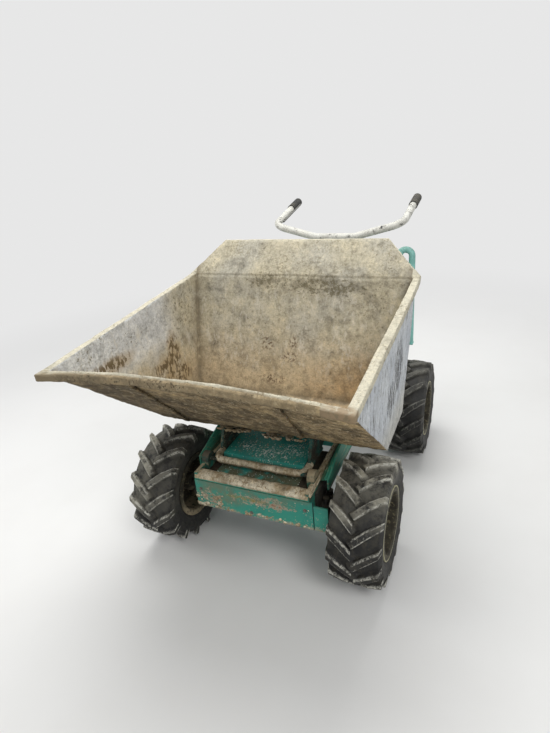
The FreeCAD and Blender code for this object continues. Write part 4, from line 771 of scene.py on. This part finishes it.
def cut_tub(mesh, low, high):
    """Joins the tub's faces where they are flat and cuts them into even cells."""
    bmesh.ops.remove_doubles(mesh, verts=mesh.verts[:], dist=2e-5)
    bmesh.ops.dissolve_limit(mesh, angle_limit=math.radians(0.6), verts=mesh.verts[:], edges=mesh.edges[:])
    cell = TUB_CELL * 1
    cut_by_planes(mesh, lambda f: abs(f.normal.x) < 0.8, 0, low[0], high[0], cell)
    cut_by_planes(mesh, lambda f: abs(f.normal.x) > 0.8 or abs(f.normal.z) > 0.75, 1, low[1], high[1], cell)
    cut_by_planes(mesh, lambda f: abs(f.normal.x) > 0.8 or abs(f.normal.z) < 0.75, 2, low[2], high[2], cell)
    bmesh.ops.triangulate(mesh, faces=[f for f in mesh.faces if len(f.verts) > 4])
    mesh.normal_update()


def dressed_place(vert):
    """Where a point of the tub lies once the wall is dented and caked."""
    rise = (vert.co.z - TUB_SHOULDER[1]) / CREASE_RISE
    in_front = vert.co.y < TUB_SHOULDER[0] - 0.004 + 0.07 * rise
    if -0.1 < rise < 1 and in_front and abs(vert.co.x) < TUB_BOTTOM_HALF:
        vert.co.y += CREASE_FILL * (1 - max(rise, 0))
    kinds = [face.material_index for face in vert.link_faces]
    dent = Vector([lumps(vert.co, DENT_WIDTH, seed) for seed in (3, 7, 11)]) * DENT_DEPTH
    crust = CRUST_RIM if RIM in kinds else CRUST_UNDER if UNDER in kinds else CRUST_ELSEWHERE
    swell = lumps(vert.co, 0.045, 17) + 0.6 * lumps(vert.co, 0.016, 19)
    return vert.co + dent + vert.normal * crust * swell


def make_tub():
    """The tub's skin with its ribs, dented and caked, its sharp edges softened."""
    mesh = bmesh.new()
    for name in ("tub_shell", "tub_ribs"):
        mesh.from_mesh(nodes[name].data)
    low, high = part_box("tub_shell")
    cut_tub(mesh, low, high)
    for face in mesh.faces:
        face.material_index = tub_finish(face.calc_center_median(), face.normal)
    store = mesh.verts.layers.float.new("corner_shade_and_dirt")
    moved = []
    for vert in mesh.verts:
        vert[store] = corner_shade_and_dirt(vert.co)
        moved.append(dressed_place(vert))
    for vert, place in zip(mesh.verts, moved):
        vert.co = [min(max(v, a), b) for v, a, b in zip(place, low, high)]
    crease = [v for v in mesh.verts
              if abs(v.co.z - TUB_SHOULDER[1]) < 0.008 and abs(v.co.x) < TUB_BOTTOM_HALF]
    bmesh.ops.remove_doubles(mesh, verts=crease, dist=0.0035)
    soft = {v for e in mesh.edges if e.is_manifold and e.calc_face_angle(0) > 0.5 for v in e.verts}
    bmesh.ops.smooth_vert(mesh, verts=list(soft), factor=0.35,
                          use_axis_x=True, use_axis_y=True, use_axis_z=True)
    data = bpy.data.meshes.new("tub")
    mesh.to_mesh(data)
    mesh.free()
    for material in (tub_inside(), tub_outside(), tub_under(), tub_rim(), tub_back()):
        data.materials.append(material)
    tub = mesh_piece("tub_cast", data, "tub", 40)
    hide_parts("tub_shell", "tub_ribs")


def wrap(degrees, pitch):
    """The angle's offset from the nearest multiple of the pitch."""
    return (degrees + pitch / 2) % pitch - pitch / 2


def tip_over_centre(across, degrees, start):
    """How far a point at and past the tyre's middle stands on the root of the other side's lug, 0 to 1."""
    share = across / TYRE_HALF
    turn = (share - LUG_SHARE_FOOT[0]) * LUG_TURN[1] / (LUG_SHARE_FOOT[1] - LUG_SHARE_FOOT[0])
    offset = np.radians(wrap(degrees - start - turn, 360 / LUGS)) * TYRE_R
    along = (across - LUG_SHARE_FOOT[0] * TYRE_HALF) / math.cos(LUG_SLANT) + offset * math.sin(LUG_SLANT)
    flank = (LUG_REACH_FOOT[0] - np.abs(offset)) / (LUG_REACH_FOOT[0] - LUG_REACH_TOP[0])
    return np.clip(np.minimum(flank, along / 0.006 + 0.5), 0, 1)


def tyre_rows():
    """Along the profile from the middle: the tables' place, then how much of a lug's height is left."""
    first = -LUG_SHARE_FOOT[0] / (LUG_SHARE_FOOT[1] - LUG_SHARE_FOOT[0])
    places = [*np.linspace(first, 1, 13), *np.linspace(1, 2, 14)[1:], *np.linspace(2, 3, 7)[1:]]
    return [(place, 1.0) for place in places] + [(3.0, 0.66), (3.0, 0.33), (3.0, 0.0)]


def half_tyre(side):
    """The right or left half of a tyre, row by row: across, turn, radius, and what is kept on the points."""
    pitch = 360 / LUGS
    columns = COLUMNS // 1 * LUGS
    even = LUG_START + np.arange(columns) * 360 / columns
    own_start = LUG_START + (0 if side > 0 else pitch / 2)
    other_start = LUG_START + (pitch / 2 if side > 0 else 0)
    tables = (LUG_SHARE_TOP, LUG_SHARE_FOOT, LUG_TURN, LUG_DEPTH_TOP, LUG_DEPTH_FOOT,
              LUG_REACH_TOP, LUG_REACH_FOOT)
    rows = []
    for place, left in tyre_rows():
        share_top, share_foot, turn, depth_top, depth_foot, reach_top, reach_foot = [
            np.interp(place, range(len(table)), table) for table in tables]
        angles = even + turn
        offset = np.abs(np.radians(wrap(even - own_start, pitch)) * TYRE_R)
        lug = np.clip((reach_foot - offset) / (reach_foot - reach_top), 0, 1)
        if place < 0.6:
            across = share_foot * TYRE_HALF
            lug = np.minimum(lug, tip_over_centre(across, angles, own_start))
            lug = np.maximum(lug, tip_over_centre(-across, angles, other_start))
        lug = lug * left
        worn = np.clip(1 - (reach_top - offset) / EDGE_ROUND, 0, 1) ** 2 * (lug > 0.95)
        fillet = np.clip(1 - (offset - reach_foot) / FOOT_ROUND, 0, 1) ** 2 * (lug <= 0) * left
        radius = TYRE_R - depth_foot + (depth_foot - depth_top) * lug + (fillet - worn) * ROUND_DEPTH
        x = side * TYRE_HALF * (share_foot + (share_top - share_foot) * lug)
        # Near the lugs' upper edges, where the scuffs and their painted highlight go.
        edge = np.exp(-((offset - reach_top) / 0.005) ** 2) * (lug > 0.4)
        rows.append((x, angles, radius, lug, edge))
    rows += [(side * x, even + LUG_TURN[-1], radius, 0, 0) for x, radius in SIDE_WALL]
    return [np.stack([value * np.ones(columns) for value in row]) for row in rows]


def tyre_numbers():
    """Points, faces and kept numbers of a tyre about its own centre, from bead to bead and closed."""
    rows = half_tyre(1)[::-1] + half_tyre(-1)[1:]
    x, degrees, radius, lug, edge = np.concatenate(rows, axis=1)
    angle = np.radians(degrees)
    points = np.stack([x, -radius * np.cos(angle), radius * np.sin(angle)], 1)
    here = np.arange(len(x)).reshape(len(rows), -1)
    below = np.roll(here, -1, axis=0)
    faces = np.stack([here, below, np.roll(below, -1, axis=1), np.roll(here, -1, axis=1)], 2).reshape(-1, 4)
    return points, faces, lug, edge


def make_tyres():
    """Four tyres from the same numbers, each worn in its own way and turned to its side."""
    points, faces, lug, edge = tyre_numbers()
    material = rubber()
    for number, (name, side, y) in enumerate(WHEELS):
        shift = Vector((0.3 * number, 0, 0))
        placed = []
        for x, along, up in points:
            radius = math.hypot(along, up)
            tread = min(1, max(0, (radius - 0.15) / 0.03))
            wear = 0.0012 * (lumps(Vector((x, along, up)) + shift, 0.03, 5) - 1) * tread
            scale = (radius + wear) / radius
            placed.append((side * (x + TRACK_HALF), y + along * scale, AXLE_Z + up * scale))
        quads = faces if side > 0 else faces[:, ::-1]
        tyre = mesh_object("tyre_dressed_" + name, placed, quads, "wheel_" + name, material, 32,
                           (("lug", lug), ("edge", edge)))
        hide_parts("tyre_" + name)


def sleeve(name, body, line, radius, coat, seed, material, arc):
    """A lumpy coat round a bar along a line of points; where it thins out, the bar shows."""
    ring = 20
    stations = []
    for start, end in zip(line, line[1:]):
        count = max(2, int((end - start).length / 0.005))
        stations += [start.lerp(end, k / count) for k in range(count)]
    stations.append(line[-1])
    points = []
    for k, centre in enumerate(stations):
        ahead = stations[min(k + 1, len(stations) - 1)] - stations[max(k - 1, 0)]
        flat = ahead.cross(Vector((0, 0, 1))).normalized()
        upward = flat.cross(ahead).normalized()
        for j in range(ring):
            angle = math.radians(arc[0] + (arc[1] - arc[0]) * j / (ring - 1))
            way = flat * math.cos(angle) + upward * math.sin(angle)
            place = centre + way * radius
            thick = coat * (0.8 + 0.55 * lumps(place, 0.03, seed) + 0.35 * lumps(place, 0.01, seed + 3))
            if arc[1] < 360:
                thick *= min(1, 5 * j / (ring - 1), 5 * (ring - 1 - j) / (ring - 1))
            points.append(place + way * max(-0.0015, thick))
    faces = [(a, d, c, b) for a, b, c, d in grid_faces(len(stations), ring)]
    mesh_object(name, points, faces, body, material, 60)


def cake(name, corner, along, across, height, seed, bias, material):
    """A sheet of dried cement on a flat face; where it dips under the face, the face shows."""
    corner, along, across = Vector(corner), Vector(along), Vector(across)
    normal = along.cross(across).normalized()
    columns = max(2, int(along.length / CAKE_CELL))
    rows = max(2, int(across.length / CAKE_CELL))
    points = []
    for i in range(columns + 1):
        for j in range(rows + 1):
            place = corner + along * (i / columns) + across * (j / rows)
            border = min(i, columns - i, 3) / 3 * min(j, rows - j, 3) / 3
            value = bias + 0.9 * lumps(place, 0.035, seed) + 0.5 * lumps(place, 0.012, seed + 5)
            lift = height * (value * border - (1 - border) * 0.6)
            points.append(place + normal * min(max(lift, -0.002), height * 1.4))
    mesh_object(name, points, grid_faces(columns + 1, rows + 1), "chassis", material, 60)


def blob(points, faces, centre, normal, radius, height, dice):
    """Adds one flattened lump to a mesh's numbers."""
    first = len(points)
    side = normal.orthogonal().normalized()
    other = normal.cross(side)
    count = 7
    for reach, lift in ((1.0, -0.15), (0.8, 0.55), (0.4, 0.95)):
        for k in range(count):
            angle = 2 * math.pi * k / count
            way = side * math.cos(angle) + other * math.sin(angle)
            points.append(centre + way * (radius * reach * dice.uniform(0.75, 1.2)) + normal * height * lift)
    points.append(centre + normal * height)
    faces += ring_faces(first, 3, count)
    last, tip = first + 2 * count, first + 3 * count
    faces += [(last + k, last + (k + 1) % count, tip) for k in range(count)]


def spatter(name, material):
    """Lumps scattered over the front cover and the deck."""
    dice = random.Random(4)
    points, faces = [], []
    for corner, along, across, count, small, large in SPATTER:
        corner, along, across = Vector(corner), Vector(along), Vector(across)
        normal = along.cross(across).normalized()
        for _ in range(count):
            centre = corner + along * dice.random() + across * dice.random()
            radius = small + (large - small) * dice.random() ** 3
            blob(points, faces, centre, normal, radius, radius * dice.uniform(0.3, 0.7), dice)
    mesh_object(name, points, faces, "chassis", material, 60)


def chunks(name, material):
    """Lumps hanging from the edge between the tub's floor and its front wall."""
    dice = random.Random(8)
    down = Vector((0, -0.5, -0.85)).normalized()
    points, faces = [], []
    for _ in range(CHUNKS):
        x = dice.choice((dice.uniform(-0.21, -0.06), dice.uniform(0.0, 0.2)))
        y = TUB_FRONT_Y - 0.012 + dice.uniform(-0.02, 0.012)
        z = TUB_FLOOR_Z + 0.002 + dice.uniform(-0.002, 0.004)
        radius = dice.uniform(0.005, 0.014)
        blob(points, faces, Vector((x, y, z)), down, radius, radius * 0.7, dice)
    mesh_object(name, points, faces, "tub", material, 60)


def sheet(name, material, grid, thick, smooth_below):
    """A closed thin sheet from a grid of points, its back straight below."""
    rows, columns = len(grid), len(grid[0])
    points = [point for row in grid for point in row]
    points += [point - Vector((0, 0, thick)) for point in points]
    half = rows * columns
    faces = []
    for quad in grid_faces(rows, columns):
        faces += [quad, tuple(half + k for k in reversed(quad))]
    ring = [*range(columns), *range(2 * columns - 1, half, columns)]
    ring += [*range(half - 2, half - columns - 1, -1), *range(half - 2 * columns, 0, -columns)]
    faces += [(a, b, b + half, a + half) for a, b in zip(ring, ring[1:] + ring[:1])]
    mesh_object(name, points, faces, "chassis", material, smooth_below)


def both_sides(name, material, along, across, place, thick, smooth_below):
    """A right and a left sheet over the places along and across, mirrored but for their lumps."""
    for side, label in ((1, "_right"), (-1, "_left")):
        grid = [[place(side, float(y), out) for out in across[::-side]] for y in along]
        sheet(name + label, material, grid, thick, smooth_below)


def shelf_place(side, y, out):
    """Dirt packed on the ledges between the trough and the rails."""
    place = Vector((side * out, y, 0.402))
    return place + Vector((0, 0, 0.004 + 0.003 * lumps(place, 0.02, 31) + 0.002 * lumps(place, 0.008, 5)))


def fold_place(side, y, fold):
    """The folded sheet between each rail and its wing, with two ribs along it."""
    out, share, rise = fold
    low = RAIL_TOP_Z - 0.012
    top = RAIL_TOP_Z + 0.05 * min(1.0, (y + 0.573) / 0.18) - 0.001
    place = Vector((side * (RAIL_OUT + 0.001 + out * WING_WIDTH), y, low + (top - low) * share + rise))
    return place + Vector((0, 0, 0.0015 * lumps(place, 0.06, 3)))


def make_cement():
    material = cement()
    y, z, radius = FRONT_BAR
    sleeve("front_bar_cement", "chassis", [Vector((-0.248, y, z)), Vector((0.248, y, z))], radius, 0.004, 2,
           material, (4, 176))
    y, z, radius = BAIL
    left_half = [Vector((-BAIL_HALF, y + 0.07, z)), Vector((-BAIL_HALF, y + BAIL_BEND, z)),
                 Vector((-0.191, y + 0.009, z)), Vector((-0.168, y, z))]
    right_half = [Vector((-point.x, point.y, point.z)) for point in reversed(left_half)]
    sleeve("bail_cement", "tub", left_half + right_half, radius, 0.0028, 5, material, (0, 360))
    for row in RAIL_CAKES:
        cake(*row, material)
    both_sides("dirt_shelf", grime(), np.arange(-0.634, -0.356, 0.004),
               np.linspace(0.18, 0.2415, 16), shelf_place, 0.006, 60)
    both_sides("wing_folds", nodes["side_wings"].material_slots[0].material,
               np.arange(-0.572, -0.244, 0.012), WING_PROFILE, fold_place, 0.003, 30)
    for row in COVER_CAKES:
        cake(*row, material)
    spatter("front_spatter", material)
    chunks("tub_chunks", material)


def turned(points, faces, foot, axis, profile, count=20, open_below=False):
    """Adds a turned shape, from (height, radius) pairs, to a mesh's numbers."""
    side = axis.orthogonal().normalized()
    other = axis.cross(side)
    first = len(points)
    for height, radius in profile:
        for k in range(count):
            angle = 2 * math.pi * k / count
            points.append(foot + axis * height + (side * math.cos(angle) + other * math.sin(angle)) * radius)
    faces += ring_faces(first, len(profile), count)
    faces.append(tuple(range(len(points) - count, len(points))))
    if not open_below:
        faces.append(tuple(reversed(range(first, first + count))))


def bolts(name, body, places, material):
    """One piece of many bolt heads on washers: centre, way it points, half width, height."""
    points, faces = [], []
    for centre, axis, reach, height in places:
        for count, wide, low, high in ((12, 1.35, 0, 0.25), (6, 1, 0.25, 1)):
            profile = [(lift * height, share * reach * wide)
                       for lift, share in ((low, 1), (high - 0.1, 1), (high, 0.88))]
            turned(points, faces, Vector(centre), Vector(axis).normalized(), profile, count, open_below=True)
    mesh_object(name, points, faces, body, material)


def make_bolts():
    steel = plain_metal("bolt_steel", (120, 116, 108), 0.5, 0.7)
    for name, side, y in WHEELS:
        nuts = []
        for k in range(5):
            angle = math.radians(72 * k + 18)
            along, up = NUT_CIRCLE * math.cos(angle), NUT_CIRCLE * math.sin(angle)
            nuts.append(((side * (TRACK_HALF - 0.002), y + along, AXLE_Z + up), (side, 0, 0), 0.0055, 0.008))
        bolts("nuts_" + name, "wheel_" + name, nuts, steel)
    rear = []
    for side in (1, -1):
        rear += [((side * x, y, z), (0, 0, 1), 0.0065, 0.006) for x, y, z in DECK_BOLTS]
        rear += [((side * RAIL_OUT, y, z), (side, 0, 0), 0.0075, 0.006) for y, z in RAIL_BOLTS]
    bolts("frame_bolts", "chassis", rear, steel)
    front = [((x, COVER_Y, z), (0, -1, 0), 0.006, 0.005) for x, z in COVER_BOLTS]
    bolts("cover_bolts", "chassis", front, steel)


def make_panel():
    """Black knobs on the levers and dark faces in the gauges, each with its needle."""
    black = plain_metal("knob_black", (30, 30, 30), 0.35, 0.0, 0.15)
    pale = plain_metal("needle_pale", (214, 208, 190), 0.5, 0.0, 0.1)
    points, faces = [], []
    for x in (-0.2, -0.15, 0.2):
        turned(points, faces, PANEL_MIDDLE + Vector((x, 0, 0)), PANEL_UP, KNOB_PROFILE)
    for x in (-0.06, 0.01):
        turned(points, faces, PANEL_MIDDLE + Vector((x, 0, 0)), PANEL_UP, GAUGE_PROFILE)
    mesh_object("panel_knobs", points, faces, "chassis", black, 50)
    points, faces = [], []
    for x, lean in ((-0.06, 0.7), (0.01, -0.5)):
        foot = PANEL_MIDDLE + Vector((x, 0, 0)) + PANEL_UP * 0.0034
        way = Matrix.Rotation(lean, 3, PANEL_UP) @ Vector((1, 0, 0)).cross(PANEL_UP)
        turned(points, faces, foot, PANEL_UP, ((0, 0.003), (0.0016, 0.003)))
        turned(points, faces, foot + PANEL_UP * 0.001, way, ((0, 0.0008), (0.018, 0.0005)))
    mesh_object("gauge_needles", points, faces, "chassis", pale, 50)


def make_materials():
    """One finish per record slot, and some nodes' own, put on every CAD node that stays in sight."""
    finishes = {slot: plain_metal(*look) for slot, look in PLAIN_FINISHES.items()}
    finishes["frame_paint"] = green_paint("green_paint")
    finishes["black_paint"] = black_paint()
    finishes["muffler_steel"] = muffler_steel()
    finishes["bar_paint"] = bar_paint()
    finishes["rim_paint"] = rim_paint()
    own = {"front_cover": cover_paint(), "deck_panel": deck_paint_and_light(), "side_wings": wing_paint(),
           "guard_hoops": green_paint("hoop_paint", 0.03, 0.25, (136, 198, 188))}
    own["rail_right"] = own["rail_left"] = rail_paint()
    own["tub_hinge_arms"] = own["tub_hinge_shaft"] = arm_paint()
    for name, node in nodes.items():
        for material_slot in node.material_slots:
            key = material_slot.material.name.split(".")[0]
            if name in own or key in finishes:
                material_slot.material = own.get(name) or finishes[key]


def make_camera():
    data = bpy.data.cameras.new("camera")
    data.sensor_width = SENSOR_MM
    data.lens = FOCAL_PX / IMAGE_HEIGHT_PX * SENSOR_MM
    camera = bpy.data.objects.new("camera", data)
    turn = Matrix.Rotation(-CAMERA_YAW, 4, "Z") @ Matrix.Rotation(math.pi / 2 + CAMERA_PITCH, 4, "X")
    camera.matrix_world = Matrix.Translation(CAMERA_AT) @ turn @ Matrix.Rotation(CAMERA_ROLL, 4, "Z")
    bpy.context.scene.collection.objects.link(camera)
    bpy.context.scene.camera = camera


def make_lights():
    """A cool even sky behind a pale backdrop, and four round lamps."""
    world = bpy.data.worlds.new("world")
    world.use_nodes = True
    bpy.context.scene.world = world
    tree = world.node_tree
    sky = tree.nodes["Background"]
    sky.inputs["Color"].default_value = SKY_COLOUR
    sky.inputs["Strength"].default_value = SKY_STRENGTH
    shown = add_node(tree, "ShaderNodeBackground", {"Color": BACKDROP_COLOUR})
    mix = add_backdrop(tree, sky.outputs[0], shown.outputs[0])
    tree.links.new(mix, tree.nodes["World Output"].inputs["Surface"])
    for name, place, aim, size, watts in LIGHTS:
        data = bpy.data.lights.new(name, "AREA")
        data.shape = "DISK"
        data.size = size
        data.energy = watts
        lamp = bpy.data.objects.new(name, data)
        lamp.location = place
        lamp.rotation_mode = "QUATERNION"
        lamp.rotation_quaternion = (Vector(aim) - Vector(place)).to_track_quat("-Z", "Y")
        bpy.context.scene.collection.objects.link(lamp)


def make_floor():
    """A pale floor that keeps the shadow and passes into the backdrop further out."""
    bpy.ops.mesh.primitive_plane_add(size=60)
    floor = bpy.context.object
    floor.name = "floor"
    s = Shade("floor", (229, 228, 225), 0.9)
    s.layer((220, 218, 214), s.patches(0.5, 201, 0.4, 0.7, 4), 0.3)
    floor.data.materials.append(s.done())
    shown = s.add("ShaderNodeEmission", {"Color": BACKDROP_COLOUR})
    mix = add_backdrop(s.tree, s.shader.outputs[0], shown.outputs[0], s.step(s.distance(s.x, s.y), 1.4, 4.5))
    s.tree.links.new(mix, s.tree.nodes["Material Output"].inputs["Surface"])


make_camera()
make_lights()
make_floor()
make_materials()
make_tub()
make_tyres()
make_cement()
make_bolts()
make_panel()
